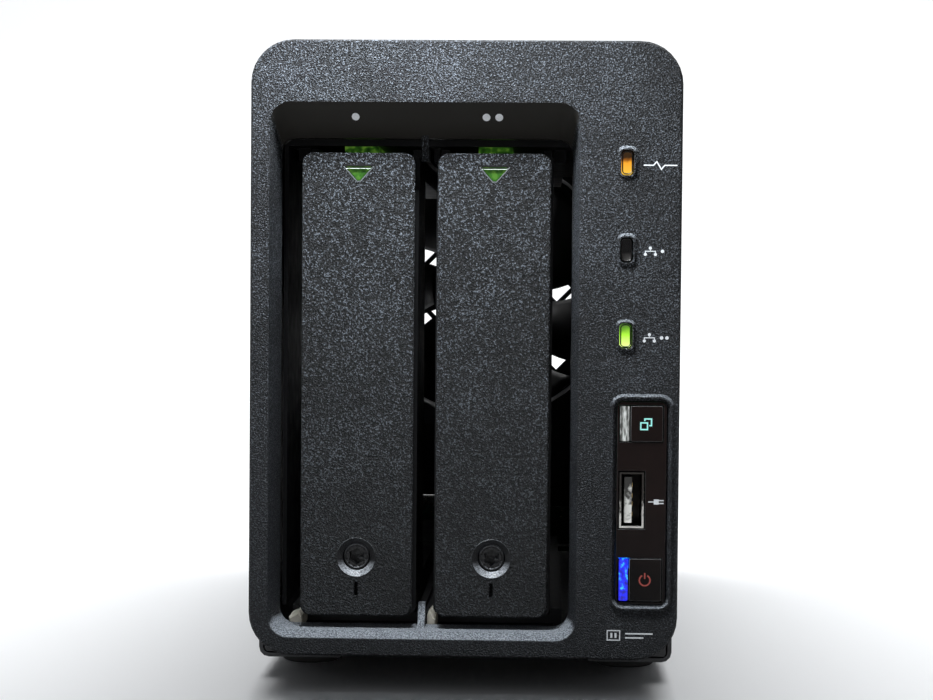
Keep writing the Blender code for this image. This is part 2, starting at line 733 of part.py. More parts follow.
def tray_frame(bay, c, parent):
    block = prism(
        "Y", rounded(c - BLOCK_HALF, c + BLOCK_HALF, 17.2, 130.4, 1.4, 2),
        BLOCK_FRONT, BLOCK_BACK,
    )
    swing = box(c - 16, c + 16, BLOCK_FRONT - 1, -99.8, 121.5, 131.5)
    wall, step = BLOCK_FRONT + 2.2, -97.6
    inside = prism(
        "X",
        [
            (wall, 19.8), (BLOCK_BACK + 1, 19.8), (BLOCK_BACK + 1, 128.2),
            (step, 128.2), (step, 119.6), (wall, 119.6),
        ],
        c - 13.2, c + 13.2,
    )
    web = 2.4
    inner = RAIL_HALF - 2.0

    def rail(base, face, sign):
        return [
            (c - RAIL_HALF, base), (c - inner, base), (c - inner, face - sign * web),
            (c + inner, face - sign * web), (c + inner, base), (c + RAIL_HALF, base),
            (c + RAIL_HALF, face), (c - RAIL_HALF, face),
        ]

    rails = [
        prism("Y", rail(RAIL_LOW, DRIVE_LOW, 1), -88.0, TRAY_BACK),
        prism("Y", rail(RAIL_HIGH, DRIVE_HIGH, -1), -88.0, TRAY_BACK),
    ]
    ears = [
        prism("X", ear_outline(HINGE_Y, HINGE_Z, 2.4, 0.4, -99.4), a, b)
        for a, b in mirrored(c, 9.6, 11.6)
    ]
    sleeve = box(c - 4.4, c + 4.4, wall - 0.5, -95.4, 18.5, LATCH_Z + 4.1)
    holes = [prism("X", circle(HINGE_Y, HINGE_Z, 1.3, 12), c - 12.5, c + 12.5)]
    holes += [box(c - 9, c + 9, -104.5, -100.5, z - 4, z + 4) for z in (44, 60, 76, 92, 108)]
    holes.append(box(c - 2.9, c + 2.9, -104.5, -93.5, LATCH_Z - 2.6, LATCH_Z + 2.6))
    holes += [
        turned("Z", c, y, [(low, 1.8), (low + 4, 1.8)], 10)
        for y in (-62.5, 39.1)
        for low in (DRIVE_LOW - 3.2, DRIVE_HIGH - 0.8)
    ]
    part(
        f"tray_{bay}_frame", "tray_plastic", block,
        [
            ("DIFFERENCE", [swing]), ("DIFFERENCE", [inside]),
            ("UNION", rails), ("UNION", [*ears, sleeve]), ("DIFFERENCE", holes),
        ],
        origin=(c, TRAY_FACE, TRAY_MIDDLE), parent=parent,
    )
    pipe_half, low, high, front = 4.2, 130.7, 132.3, -101.4
    outline = [(front, high), (front + 1.0, low), (48.0, low), (48.0, high)]
    part(
        f"tray_{bay}_light_pipe", "tray_lens", prism("X", outline, c - pipe_half, c + pipe_half),
        origin=(c, TRAY_FACE, TRAY_MIDDLE), parent=parent,
    )


def lens_outline(c, clear):
    """A triangle on its point with blunt corners."""
    half, top, apex, blunt = 3.5 - clear * 1.6, 127.2 - clear, 123.3 + clear * 1.4, 0.35
    return [
        (c - half + blunt, top), (c - half + 0.1, top - blunt), (c - blunt, apex),
        (c + blunt, apex), (c + half - 0.1, top - blunt), (c + half - blunt, top),
    ]


def tray_door(bay, c, parent):
    face = (c - DOOR_HALF, c + DOOR_HALF, DOOR_BOTTOM, DOOR_TOP)
    edge, radius, draft = 0.35, 2.6, 0.3
    shell = loft(
        "Y",
        (TRAY_FACE, rounded(*grown(face, -edge), radius - edge, 5)),
        (TRAY_FACE + edge, rounded(*face, radius, 5)),
        (DOOR_REAR, rounded(*grown(face, -draft), radius - draft, 5)),
    )
    skin, skirt = 2.6, 1.6
    hollow = prism(
        "Y", rounded(*grown(face, -skirt), 1.1, 2), TRAY_FACE + skin, DOOR_REAR + 1
    )
    lugs = [
        prism("X", lug_outline(HINGE_Y, HINGE_Z, 2.6, TRAY_FACE + skin - 0.4), a, b)
        for a, b in mirrored(c, 12.1, 13.4)
    ]
    boss = turned("Y", c, LOCK_Z, [(TRAY_FACE + skin - 0.4, 5.2), (TRAY_FACE + 3.8, 5.2)], 24)
    keyhole = turned(
        "Y", c, LOCK_Z,
        [(TRAY_FACE - 0.5, 5.0), (TRAY_FACE + 1.3, 3.95), (TRAY_FACE + 5, 3.95)], 24,
    )
    cuts = [
        keyhole,
        prism("Y", lens_outline(c, 0.0), TRAY_FACE - 1, TRAY_FACE + 4),
        box(c - 0.45, c + 0.45, TRAY_FACE - 1, TRAY_FACE + 1.2, 22.4, 25.8),
        prism("X", circle(HINGE_Y, HINGE_Z, 1.3, 12), c - 15, c + 15),
    ]
    hinge = (c, HINGE_Y, HINGE_Z)
    part(
        f"tray_{bay}_door", "door_plastic", shell,
        [("DIFFERENCE", [hollow]), ("UNION", [*lugs, boss]), ("DIFFERENCE", cuts)],
        origin=hinge, parent=parent,
    )
    part(
        f"tray_{bay}_lens", "tray_lens",
        prism("Y", lens_outline(c, 0.2), TRAY_FACE + 0.6, TRAY_FACE + 3.2),
        origin=hinge, parent=parent,
    )


def tray_lock(bay, c, parent):
    """A key-turned barrel in the door, with a cam behind it."""
    barrel = turned(
        "Y", c, LOCK_Z, [(TRAY_FACE + 1.5, 3.4), (TRAY_FACE + 1.8, 3.65), (TRAY_FACE + 5.3, 3.65)], 24
    )
    cam = box(c - 1.6, c + 1.6, TRAY_FACE + 4.1, TRAY_FACE + 5.2, LOCK_Z, LOCK_Z + 6.7)
    socket = prism("Y", star(c, LOCK_Z, 2.2, 1.7, 6), TRAY_FACE, TRAY_FACE + 4.2)
    part(
        f"tray_{bay}_lock", "lock_plastic", barrel,
        [("UNION", [cam]), ("DIFFERENCE", [socket])],
        origin=(c, TRAY_FACE + 3, LOCK_Z), parent=parent,
    )


def tray_pins(bay, c, parent):
    for side, (a, b) in zip(("left", "right"), mirrored(c, 9.8, 13.3)):
        pin = turned("X", HINGE_Y, HINGE_Z, [(a, 1.0), (b, 1.0)], 12)
        part(
            f"tray_{bay}_hinge_pin_{side}", "pin_steel", pin,
            origin=((a + b) / 2, HINGE_Y, HINGE_Z), parent=parent,
        )


def tray_latch(bay, c):
    """The push latch that holds the door: a plunger sliding through the tray's front wall."""
    front = TRAY_FACE + 2.6 + GAP
    point = (c, front, LATCH_Z)
    slide = joint_empty(f"tray_{bay}_latch_axis", point, bpy.data.objects[f"tray_{bay}_axis"])
    plunger = prism(
        "Y", rounded(c - 2.5, c + 2.5, LATCH_Z - 2.2, LATCH_Z + 2.2, 0.6, 2), front, -97.0
    )
    part(f"tray_{bay}_latch", "nylon", plunger, origin=point, parent=slide)


def drive_tray(bay, c):
    slide = joint_empty(f"tray_{bay}_axis", (c, TRAY_FACE, TRAY_MIDDLE))
    tray_frame(bay, c, slide)
    tray_pins(bay, c, slide)
    tray_latch(bay, c)
    hinge = joint_empty(f"tray_{bay}_door_axis", (c, HINGE_Y, HINGE_Z), slide)
    tray_door(bay, c, hinge)
    turn = joint_empty(f"tray_{bay}_lock_axis", (c, TRAY_FACE + 3, LOCK_Z), hinge)
    tray_lock(bay, c, turn)


# ---- fan -------------------------------------------------------------------------------
def fan_frame():
    half = FAN_SIZE / 2
    square = prism(
        "Y", rounded(FAN_X - half, FAN_X + half, FAN_Z - half, FAN_Z + half, 3.5, 3),
        FAN_FRONT, FAN_BACK,
    )
    duct = turned("Y", FAN_X, FAN_Z, [(FAN_FRONT - 1, 44.4), (FAN_BACK + 1, 44.4)], 48)
    holes = [
        turned("Y", x, z, [(FAN_FRONT - 1, 2.2), (FAN_BACK + 1, 2.2)], 10)
        for x, z in fan_corners()
    ]
    back = FAN_BACK - 0.4
    stator = [(FAN_FRONT + 6.0, 15.8), (back - 3.2, 15.8), (back - 3.2, 19.0), (back, 19.0)]
    motor = turned("Y", FAN_X, FAN_Z, stator, 24)
    bearing = turned("Y", FAN_X, FAN_Z, [(FAN_FRONT + 5, 1.8), (back - 1.5, 1.8)], 10)
    struts = []
    for quarter in range(4):
        a = math.radians(20 + 90 * quarter)
        reach = [(17.0, -1.3), (45.2, -1.3), (45.2, 1.3), (17.0, 1.3)]
        outline = [
            (FAN_X + r * math.cos(a) - t * math.sin(a), FAN_Z + r * math.sin(a) + t * math.cos(a))
            for r, t in reach
        ]
        struts.append(prism("Y", outline, back - 2.8, back - 0.3))
    part(
        "fan_frame", "fan_plastic", square,
        [
            ("DIFFERENCE", [duct, *holes]), ("UNION", struts),
            ("UNION", [motor]), ("DIFFERENCE", [bearing]),
        ],
    )


def fan_blade(turn):
    """A swept blade from the hub to near the duct, steeper at its root."""
    points = []
    thick = 1.5
    stations = [  # radius, first and last angle, and how far the blade rises between them
        (17.4, 0, 40, 15.0), (24.0, 3, 44, 14.5), (33.0, 8, 50, 14.0), (42.4, 15, 58, 13.0),
    ]
    for r, start, end, rise in stations:
        a, b = math.radians(turn + start), math.radians(turn + end)
        low, high = BLADE_MIDDLE - rise / 2, BLADE_MIDDLE + rise / 2
        for angle, y in ((a, low), (b, high - thick), (b, high), (a, low + thick)):
            points.append((FAN_X + r * math.cos(angle), y, FAN_Z + r * math.sin(angle)))
    faces = [(0, 1, 2, 3), tuple(range(len(points) - 4, len(points)))]
    for k in range(len(stations) - 1):
        for i in range(4):
            j = (i + 1) % 4
            faces.append((4 * k + i, 4 * k + j, 4 * k + 4 + j, 4 * k + 4 + i))
    return points, faces


def fan_rotor():
    hub = turned(
        "Y", FAN_X, FAN_Z, [(FAN_FRONT + 1.0, 17.2), (FAN_FRONT + 2.0, 18.5), (FAN_FRONT + 20.6, 18.5)], 32
    )
    cup = turned("Y", FAN_X, FAN_Z, [(FAN_FRONT + 3.0, 16.6), (FAN_FRONT + 22, 16.6)], 32)
    shaft = turned("Y", FAN_X, FAN_Z, [(FAN_FRONT + 2.0, 1.4), (FAN_FRONT + 22.0, 1.4)], 10)
    blades = [fan_blade(360 * i / 7) for i in range(7)]
    part(
        "fan_rotor", "fan_plastic", hub,
        [("DIFFERENCE", [cup]), ("UNION", blades), ("UNION", [shaft])],
        origin=(FAN_X, BLADE_MIDDLE, FAN_Z),
    )


def main():
    clear_scene()
    front_bezel()
    outer_cover()
    base_pan()
    feet()
    rear_panel()
    for i, (x, z) in enumerate(fan_corners(), 1):
        screw(f"fan_screw_{i}", x, z, FAN_SCREW_TIP)
    for side, x in COVER_SCREWS.items():
        screw(f"cover_screw_{side}", x, COVER_SCREW_Z, COVER_SCREW_TIP)
    lower_guide()
    drive_cage()
    backplane()
    main_board()
    rear_sockets()
    led_lens("status", "lens_amber")
    led_lens("lan1", "lens_dark")
    led_lens("lan2", "lens_green")
    control_panel()
    front_board()
    for bay, c in BAYS.items():
        drive_tray(bay, c)
    fan_frame()
    fan_rotor()


main()
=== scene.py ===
"""Looks for the two-bay network storage enclosure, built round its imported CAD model.

Lengths in this script are millimetres in the CAD's own frame unless a name says otherwise:
+X is right, -Y is out of the front, and Z is up from the desk.
"""

import json
import math
import random

import bmesh
import bpy
from mathutils import Matrix, Vector


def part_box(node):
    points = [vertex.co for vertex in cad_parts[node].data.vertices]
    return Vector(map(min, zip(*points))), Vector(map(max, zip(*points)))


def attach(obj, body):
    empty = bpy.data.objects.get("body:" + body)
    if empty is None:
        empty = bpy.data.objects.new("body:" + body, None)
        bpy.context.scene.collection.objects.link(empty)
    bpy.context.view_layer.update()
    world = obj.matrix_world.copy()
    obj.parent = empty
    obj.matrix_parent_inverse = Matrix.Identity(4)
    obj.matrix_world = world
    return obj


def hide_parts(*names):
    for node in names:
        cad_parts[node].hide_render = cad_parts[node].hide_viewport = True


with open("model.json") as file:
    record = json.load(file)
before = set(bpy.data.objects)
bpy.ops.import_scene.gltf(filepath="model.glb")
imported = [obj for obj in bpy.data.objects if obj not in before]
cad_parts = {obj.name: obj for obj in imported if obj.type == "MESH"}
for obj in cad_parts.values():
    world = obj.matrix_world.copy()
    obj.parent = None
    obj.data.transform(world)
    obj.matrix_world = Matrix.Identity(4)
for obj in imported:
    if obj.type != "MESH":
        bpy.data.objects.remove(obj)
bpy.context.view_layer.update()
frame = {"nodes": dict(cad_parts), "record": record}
MM = 0.001
MATERIALS = {}  # by name, as Shader makes them


# ---- places, read from the frame ---------------------------------------------------------
def span(node):
    """A CAD node's lowest and highest corners, in millimetres."""
    low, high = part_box(node)
    return low / MM, high / MM


def centre(node):
    low, high = span(node)
    return (low + high) / 2


FRONT = span("front_bezel")[0].y
RIM = 0.4  # the rims round the lights stand this far out of the bezel's face
FACE = FRONT + RIM
BAYS = {bay: centre(f"tray_{bay}_door").x for bay in (1, 2)}
LOCK_RADIUS = 3.65


def new_object(name, data):
    made = bpy.data.objects.new(name, data)
    bpy.context.scene.collection.objects.link(made)
    return made


# ---- camera, light and stage -------------------------------------------------------------
IMAGE_WIDTH = 933
FOCAL_IN_PIXELS = 2100
SENSOR = 36.0
CAMERA_PLACE = (18.3, -503.2, 100.3)  # its y is from the bezel's face
CAMERA_TURN = (2.02, 88.017, 0.495)  # yaw, pitch from straight down, and roll, in degrees


def add_camera():
    data = bpy.data.cameras.new("camera")
    data.sensor_width = SENSOR
    data.lens = SENSOR * FOCAL_IN_PIXELS / IMAGE_WIDTH
    data.clip_start, data.clip_end = 0.01, 20
    camera = new_object("camera", data)
    yaw, pitch, roll = (math.radians(a) for a in CAMERA_TURN)
    turn = (
        Matrix.Rotation(yaw, 4, "Z")
        @ Matrix.Rotation(pitch, 4, "X")
        @ Matrix.Rotation(roll, 4, "Z")
    )
    place = (Vector(CAMERA_PLACE) + Vector((0, FRONT, 0))) * MM
    camera.matrix_world = Matrix.Translation(place) @ turn
    bpy.context.scene.camera = camera


def area_light(name, place, target, size, watts, colour=(1, 1, 1), flagged=None):
    """A soft light in metres and watts. flagged is a collection of what it doesn't reach."""
    data = bpy.data.lights.new(name, "AREA")
    data.shape = "RECTANGLE"
    data.size, data.size_y = size
    data.energy = watts
    data.color = colour
    light = new_object(name, data)
    light.location = place
    aim = Vector(target) - Vector(place)
    light.rotation_euler = aim.to_track_quat("-Z", "Y").to_euler()
    light.light_linking.receiver_collection = flagged


def flag_off(backdrop):
    """A collection that keeps a light off the backdrop, as a studio flag would."""
    flagged = bpy.data.collections.new("flagged")
    flagged.objects.link(backdrop)
    flagged.collection_objects[0].light_linking.link_state = "EXCLUDE"
    return flagged


def add_lights(backdrop):
    """A near light that skims down the front, and soft lights before, over and behind it."""
    flagged = flag_off(backdrop)
    middle = (0.0, 0.0, 0.08)
    cool, plain = (0.90, 0.95, 1.0), (0.97, 0.985, 1.0)
    area_light(
        "skim", (-0.022, -0.149, 0.215), (-0.014, -0.116, 0.12), (0.05, 0.02), 0.67, cool, flagged,
    )
    area_light("left_card", (-0.55, -0.95, 0.16), middle, (0.40, 0.30), 1.0, cool, flagged)
    area_light("right_card", (0.62, -0.95, 0.16), middle, (0.40, 0.30), 0.7, plain, flagged)
    area_light("overhead", (0.0, 0.45, 1.2), (0.0, 0.35, 0.0), (1.0, 0.8), 12, plain)
    area_light("backdrop_wash", (0.0, 0.9, 2.2), (0.0, 2.0, 0.5), (2.4, 0.8), 58)
    world = bpy.data.worlds.new("studio")
    world.use_nodes = True
    background = world.node_tree.nodes["Background"].inputs
    background["Color"].default_value = (0.94, 0.96, 1.0, 1)
    background["Strength"].default_value = 0.085
    bpy.context.scene.world = world
    bpy.context.scene.view_settings.view_transform = "Standard"


def add_stage():
    """A pale floor that sweeps up behind the object."""
    front, reach, bend, height, half, steps = -2.4, 1.6, 0.5, 2.4, 3.0, 12
    profile = [(front, 0.0), (reach, 0.0)]
    for i in range(1, steps + 1):
        a = math.radians(90 * i / steps)
        profile.append((reach + bend * math.sin(a), bend * (1 - math.cos(a))))
    profile.append((reach + bend, height))
    graph = bmesh.new()
    left = [graph.verts.new((-half, y, z)) for y, z in profile]
    right = [graph.verts.new((half, y, z)) for y, z in profile]
    for i in range(len(profile) - 1):
        graph.faces.new((left[i], right[i], right[i + 1], left[i + 1]))
    mesh = bpy.data.meshes.new("backdrop")
    graph.to_mesh(mesh)
    graph.free()
    mesh.shade_smooth()
    backdrop = new_object("backdrop", mesh)
    Shader("backdrop", (0.86, 0.87, 0.88), 0.9)
    backdrop.data.materials.append(MATERIALS["backdrop"])
    return backdrop


# ---- materials ---------------------------------------------------------------------------
class Shader:
    """A material being made and kept by name: a Principled shader, and short ways to feed it."""

    def __init__(self, name, colour, roughness, metallic=0.0, **constants):
        MATERIALS[name] = bpy.data.materials.new(name)
        MATERIALS[name].use_nodes = True
        self.tree = MATERIALS[name].node_tree
        self.bsdf = self.tree.nodes["Principled BSDF"]
        self.set("Base Color", (*colour, 1.0))
        self.set("Roughness", roughness)
        self.set("Metallic", metallic)
        for socket, value in constants.items():
            self.set(socket.replace("_", " "), value)
        self.place = self.add("TexCoord").outputs["Object"]

    def set(self, socket, value):
        self.bsdf.inputs[socket].default_value = value

    def feed(self, socket, output):
        self.tree.links.new(output, self.bsdf.inputs[socket])

    def paint(self, output):
        self.feed("Base Color", output)

    def add(self, kind, inputs=None, **settings):
        node = self.tree.nodes.new("ShaderNode" + kind)
        for key, value in settings.items():
            setattr(node, key, value)
        for key, value in (inputs or {}).items():
            if isinstance(value, bpy.types.NodeSocket):
                self.tree.links.new(value, node.inputs[key])
            else:
                node.inputs[key].default_value = value
        return node

    def noise(self, feature_mm, detail=2.0, rough=0.5, place=None):
        """Smooth noise from 0 to 1 whose blotches are about feature_mm across."""
        inputs = {
            "Vector": place or self.place, "Scale": 1.0 / (feature_mm * MM),
            "Detail": detail, "Roughness": rough,
        }
        return self.add("TexNoise", inputs).outputs["Fac"]

    def cells(self, feature_mm):
        """Distance to the nearest of many scattered points, about feature_mm apart."""
        inputs = {"Vector": self.place, "Scale": 1.0 / (feature_mm * MM)}
        return self.add("TexVoronoi", inputs).outputs["Distance"]

    def squeeze(self, output, low, high, to_low=0.0, to_high=1.0):
        inputs = {
            "Value": output, "From Min": low, "From Max": high,
            "To Min": to_low, "To Max": to_high,
        }
        return self.add("MapRange", inputs).outputs["Result"]

    def product(self, *shares):
        """The product of several outputs."""
        total = shares[0]
        for share in shares[1:]:
            total = self.math("MULTIPLY", total, share)
        return total

    def facing(self, name):
        """The surface normal's part along an axis, from -1 to 1."""
        normal = self.add("NewGeometry").outputs["Normal"]
        return self.add("SeparateXYZ", {"Vector": normal}).outputs[name]

    def math(self, operation, a, b=0.0):
        return self.add("Math", {0: a, 1: b}, operation=operation).outputs[0]

    def ramp(self, output, stops):
        """stops is a list of (place from 0 to 1, colour)."""
        node = self.add("ValToRGB", {"Fac": output})
        points = node.color_ramp.elements
        while len(points) < len(stops):
            points.new(0.5)
        for point, (place, colour) in zip(points, stops):
            point.position = place
            point.color = (*colour, 1.0)
        return node.outputs["Color"]

    def mix(self, share, a, b):
        """Colour a where share is 0 and b where it is 1. Each is a colour or an output."""
        a, b = (v if isinstance(v, bpy.types.NodeSocket) else (*v, 1.0) for v in (a, b))
        inputs = {"Factor": share, 6: a, 7: b}
        return self.add("Mix", inputs, data_type="RGBA").outputs[2]

    def along(self, axis, start, end, *ends):
        """A share that changes from start to end millimetres along an axis."""
        split = self.add("SeparateXYZ", {"Vector": self.place})
        return self.squeeze(split.outputs[axis], start * MM, end * MM, *ends)

    def bump(self, height, depth_mm, strength=1.0):
        inputs = {"Height": height, "Distance": depth_mm * MM, "Strength": strength}
        self.feed("Normal", self.add("Bump", inputs).outputs["Normal"])


def scaled(colour, by):
    return tuple(c * by for c in colour)


def dusty(shader, base, amount, size=0.45):
    """Scatters pale specks over a base colour; more of them as amount rises."""
    specks = shader.noise(size, 1.0)
    share = shader.squeeze(specks, 0.84 - amount, 0.88 - amount, 0.0, 0.5)
    patchy = shader.squeeze(shader.noise(9.0, 2.0), 0.4, 0.7)
    return shader.mix(shader.math("MULTIPLY", share, patchy), base, (0.30, 0.32, 0.35))


GRAIN = 0.38  # the size of the moulded stipple
SILL_HEIGHT, ROOF_HEIGHT = 20.0, 129.0  # of the bay recess
RIM_LEFT, RIM_TOP = 35.0, 135.0  # of the bezel's part with the lights
ROOF_COLOUR = (0.0225, 0.0210, 0.0185)
# The highlight painted on the bezel's up-facing slopes is speckled between these two colours.
HIGHLIGHT_SPECK_DARK, HIGHLIGHT_SPECK_BRIGHT = (0.12, 0.132, 0.147), (0.36, 0.385, 0.415)
RISING, FALLING = (0.0, 1.0), (1.0, 0.0)


def spark_plastic(name, colour, bezel=False, depth=1.0, painted_glint=1.8):
    """Spark-textured moulded plastic: a fine stipple, with glints painted into its colour as bright
    specks.

    The painted glints fade towards the foot, away from the light that skims down from above. bezel adds
    the polished roof and a highlight painted on the up-facing slopes.
    """
    shader = Shader(name, colour, 0.46, Specular_IOR_Level=0.20)
    stipple = shader.noise(GRAIN, 2.0, 0.65)
    patches = shader.squeeze(shader.noise(16.0, 3.0), 0.3, 0.7, -0.035, 0.035)
    level = shader.math("ADD", stipple, patches)
    # The brightest specks of the ramp are painted glints of the light skimming down from above; the
    # rest is the stipple's own tone.
    tip = scaled((0.84, 0.95, 1.10), colour[1] * 5.5 * painted_glint)
    crisp = shader.ramp(
        level,
        [
            (0.41, scaled(colour, 0.15)), (0.49, scaled(colour, 0.50)),
            (0.56, scaled(colour, 1.40)), (0.66, tip),
        ],
    )
    # The painted glints are full above 105 mm and fade towards the foot.
    faded = shader.along("Z", 30.0, 105.0, 0.70, 0.0)
    base = shader.mix(faded, crisp, scaled(colour, 1.05))
    rough = shader.squeeze(stipple, 0.35, 0.7, 0.62, 0.30)
    height = stipple
    if bezel:
        roof, slopes = roof_mask(shader), painted_highlight_mask(shader)
        base = shader.mix(roof, base, ROOF_COLOUR)
        specks = shader.squeeze(stipple, 0.42, 0.60)
        # Painted highlight on the up-facing slopes: the sill and the tops of the rims by the lights.
        base = shader.mix(slopes, base, shader.mix(specks, HIGHLIGHT_SPECK_DARK, HIGHLIGHT_SPECK_BRIGHT))
        rough = shader.add("Mix", {0: roof, 2: rough, 3: 0.34}).outputs[0]
        height = shader.product(height, shader.squeeze(roof, 0.0, 1.0, 1.0, 0.0))
    shader.paint(dusty(shader, base, 0.015, 0.55))
    shader.feed("Roughness", rough)
    shader.bump(height, depth)


def step(shader, axis, place, ends=RISING):
    """A share that changes over two millimetres round a place along an axis."""
    return shader.along(axis, place - 1, place + 1, *ends)


def behind_face(shader, start, end, ends=RISING):
    """A share that changes from start to end millimetres behind the bezel's face."""
    return shader.along("Y", FRONT + start, FRONT + end, *ends)


def painted_highlight_mask(shader):
    """1 where a highlight is painted on the bezel's up-facing slopes: the recess's foot, and the tops
    of the rims by the lights.
    """
    up = shader.facing("Z")
    foot = shader.product(
        shader.squeeze(up, 0.30, 0.52), step(shader, "Z", SILL_HEIGHT, FALLING),
        behind_face(shader, 0.6, 0.8),
    )
    rim = shader.product(
        shader.squeeze(up, 0.12, 0.40, 0.0, 0.8), step(shader, "X", RIM_LEFT),
        step(shader, "Z", RIM_TOP, FALLING), behind_face(shader, 1.2, 1.5, FALLING),
    )
    return shader.math("MAXIMUM", foot, rim)


def roof_mask(shader):
    """1 on the polished roof of the bay recess, and 0 on the rest of the bezel."""
    down = shader.squeeze(shader.facing("Z"), -0.25, -0.45)
    return shader.product(down, step(shader, "Z", ROOF_HEIGHT), behind_face(shader, 0.0, 0.05))


def moulded_plastic(name, colour, roughness=0.5, depth=0.02, level=0.5):
    shader = Shader(name, colour, roughness, Specular_IOR_Level=level)
    broad = shader.noise(12.0, 3.0)
    base = shader.mix(broad, scaled(colour, 0.75), scaled(colour, 1.3))
    shader.paint(dusty(shader, base, 0.0))
    smears = shader.noise(4.0, 4.0)
    shader.feed("Roughness", shader.squeeze(smears, 0.3, 0.7, roughness - 0.08, roughness + 0.1))
    shader.bump(shader.noise(0.5, 2.0), depth)


def highlit_slope_plastic(name, dark, bright, roughness=0.35):
    """Dark plastic with a speckled highlight painted on its upward slopes."""
    shader = Shader(name, dark, roughness)
    specks = shader.squeeze(shader.noise(0.36, 2.0), 0.38, 0.60)
    wear_and_highlight = shader.mix(specks, scaled(bright, 0.30), bright)
    up = shader.squeeze(shader.facing("Z"), 0.12, 0.45)
    shader.paint(shader.mix(up, dark, wear_and_highlight))
    shader.bump(specks, 0.05)


def gloss_black():
    """Polished black plastic with a brown reflection painted towards its top, highlights painted on its
    edges, and a little dust.
    """
    shader = Shader("gloss_black", (0.010, 0.006, 0.005), 0.10, Specular_IOR_Level=0.10)
    low, high = span("control_panel")
    half_way = (low.z + high.z) / 2
    # Painted reflection: browner towards the top.
    up = shader.along("Z", low.z, half_way, -0.4, 0.3)
    broad = shader.math("ADD", shader.noise(7.0, 2.0), up)
    base = shader.mix(broad, (0.0022, 0.0020, 0.0022), (0.0135, 0.0080, 0.0070))
    # Painted highlight on the edges that don't face the front.
    edge = shader.squeeze(shader.facing("Y"), -0.985, -0.80, 0.0, 0.8)
    base = shader.mix(edge, base, (0.13, 0.13, 0.13))
    shader.paint(dusty(shader, base, -0.02, 0.3))
    shader.feed("Roughness", shader.squeeze(shader.noise(2.0, 5.0), 0.4, 0.75, 0.07, 0.24))
    shader.bump(shader.noise(5.0, 1.0), 0.02, 0.5)


def powder_coat():
    shader = Shader("painted_steel", (0.022, 0.022, 0.024), 0.42, 0.0, Specular_IOR_Level=0.6)
    skin = shader.noise(0.7, 3.0, 0.6)
    broad = shader.noise(30.0, 3.0)
    base = shader.mix(broad, (0.016, 0.016, 0.018), (0.032, 0.033, 0.036))
    shader.paint(dusty(shader, base, 0.0, 0.6))
    shader.feed("Roughness", shader.squeeze(skin, 0.35, 0.7, 0.36, 0.52))
    shader.bump(skin, 0.05)


def bare_metal(name, colour, roughness, stretch=(1, 1, 1), mottle=8.0):
    """Bare or plated metal: stretch draws its fine grain out along an axis."""
    shader = Shader(name, colour, roughness, 1.0)
    grain_place = shader.add("Mapping", {"Vector": shader.place, "Scale": stretch})
    grain = shader.noise(0.35, 3.0, place=grain_place.outputs["Vector"])
    broad = shader.noise(mottle, 4.0)
    shader.paint(shader.mix(broad, scaled(colour, 0.72), scaled(colour, 1.12)))
    shader.feed("Roughness", shader.squeeze(grain, 0.3, 0.7, roughness - 0.08, roughness + 0.14))
    shader.bump(grain, 0.012)


def worn_and_shaded_shell():
    """A plated shell whose rubbed mouth is bright lower down, and whose inside is painted dark as
    shade.
    """
    shader = Shader("usb_steel", (0.5, 0.49, 0.47), 0.35, 1.0)
    # Painted shade: the shell darkens deeper inside.
    deep = behind_face(shader, 0.75, 1.9)
    low, high = span("front_usb_shell")
    lower = shader.along("Z", low.z, high.z, 0.30, -0.45)
    wear_and_highlight = shader.squeeze(shader.math("ADD", shader.noise(1.3, 4.0), lower), 0.42, 0.62)
    mouth = shader.mix(wear_and_highlight, (0.06, 0.055, 0.05), (0.80, 0.78, 0.73))
    shader.paint(shader.mix(deep, mouth, (0.030, 0.028, 0.026)))
    shader.feed("Roughness", shader.squeeze(wear_and_highlight, 0.0, 1.0, 0.5, 0.28))
    shader.bump(shader.noise(0.5, 3.0), 0.04)


def shaded_tongue():
    """Yellowed white plastic with shade painted in patches towards its top, under the shell's roof."""
    shader = Shader("usb_white", (0.42, 0.42, 0.40), 0.4)
    low, high = span("front_usb_tongue")
    # Painted shade: darker towards the top, in patches.
    lower = shader.along("Z", low.z, high.z, 0.20, -0.24)
    unshaded = shader.squeeze(shader.math("ADD", shader.noise(1.5, 4.0), lower), 0.38, 0.58)
    shader.paint(shader.mix(unshaded, (0.05, 0.048, 0.043), (0.80, 0.79, 0.74)))
    shader.bump(shader.noise(0.8, 3.0), 0.04)


def lamp_off():
    shader = Shader("lamp_off", (0.25, 0.23, 0.18), 0.2, Coat_Weight=0.4)
    cloud = shader.noise(1.0, 3.0)
    shader.paint(shader.mix(cloud, (0.16, 0.15, 0.12), (0.34, 0.32, 0.26)))
    shader.bump(cloud, 0.03)


def rubber():
    shader = Shader("rubber", (0.02, 0.02, 0.02), 0.8, Specular_IOR_Level=0.3)
    speckle = shader.noise(0.8, 4.0)
    shader.paint(shader.mix(speckle, (0.012, 0.012, 0.012), (0.040, 0.039, 0.037)))
    shader.bump(speckle, 0.06)


def nylon():
    depth = {"Subsurface_Weight": 0.15, "Subsurface_Scale": 0.002}
    shader = Shader("nylon", (0.62, 0.57, 0.46), 0.45, **depth)
    grime = shader.squeeze(shader.noise(5.0, 5.0), 0.35, 0.75)
    shader.paint(shader.mix(grime, (0.66, 0.62, 0.52), (0.40, 0.35, 0.26)))
    shader.bump(shader.noise(1.2, 3.0), 0.03)


def guide_nylon():
    """Cream nylon on the guide's noses; behind them the guide is painted near-black as shade."""
    shader = Shader("guide_nylon", (0.5, 0.46, 0.38), 0.5)
    nose_end = -92.3
    # Painted shade: near-black behind the noses.
    back = shader.along("Y", nose_end - 0.2, nose_end + 0.2)
    grime = shader.squeeze(shader.noise(3.0, 5.0), 0.35, 0.75)
    cream = shader.mix(grime, (0.70, 0.66, 0.57), (0.40, 0.36, 0.28))
    shader.paint(shader.mix(back, cream, (0.008, 0.008, 0.008)))
    shader.bump(shader.noise(1.2, 3.0), 0.03)


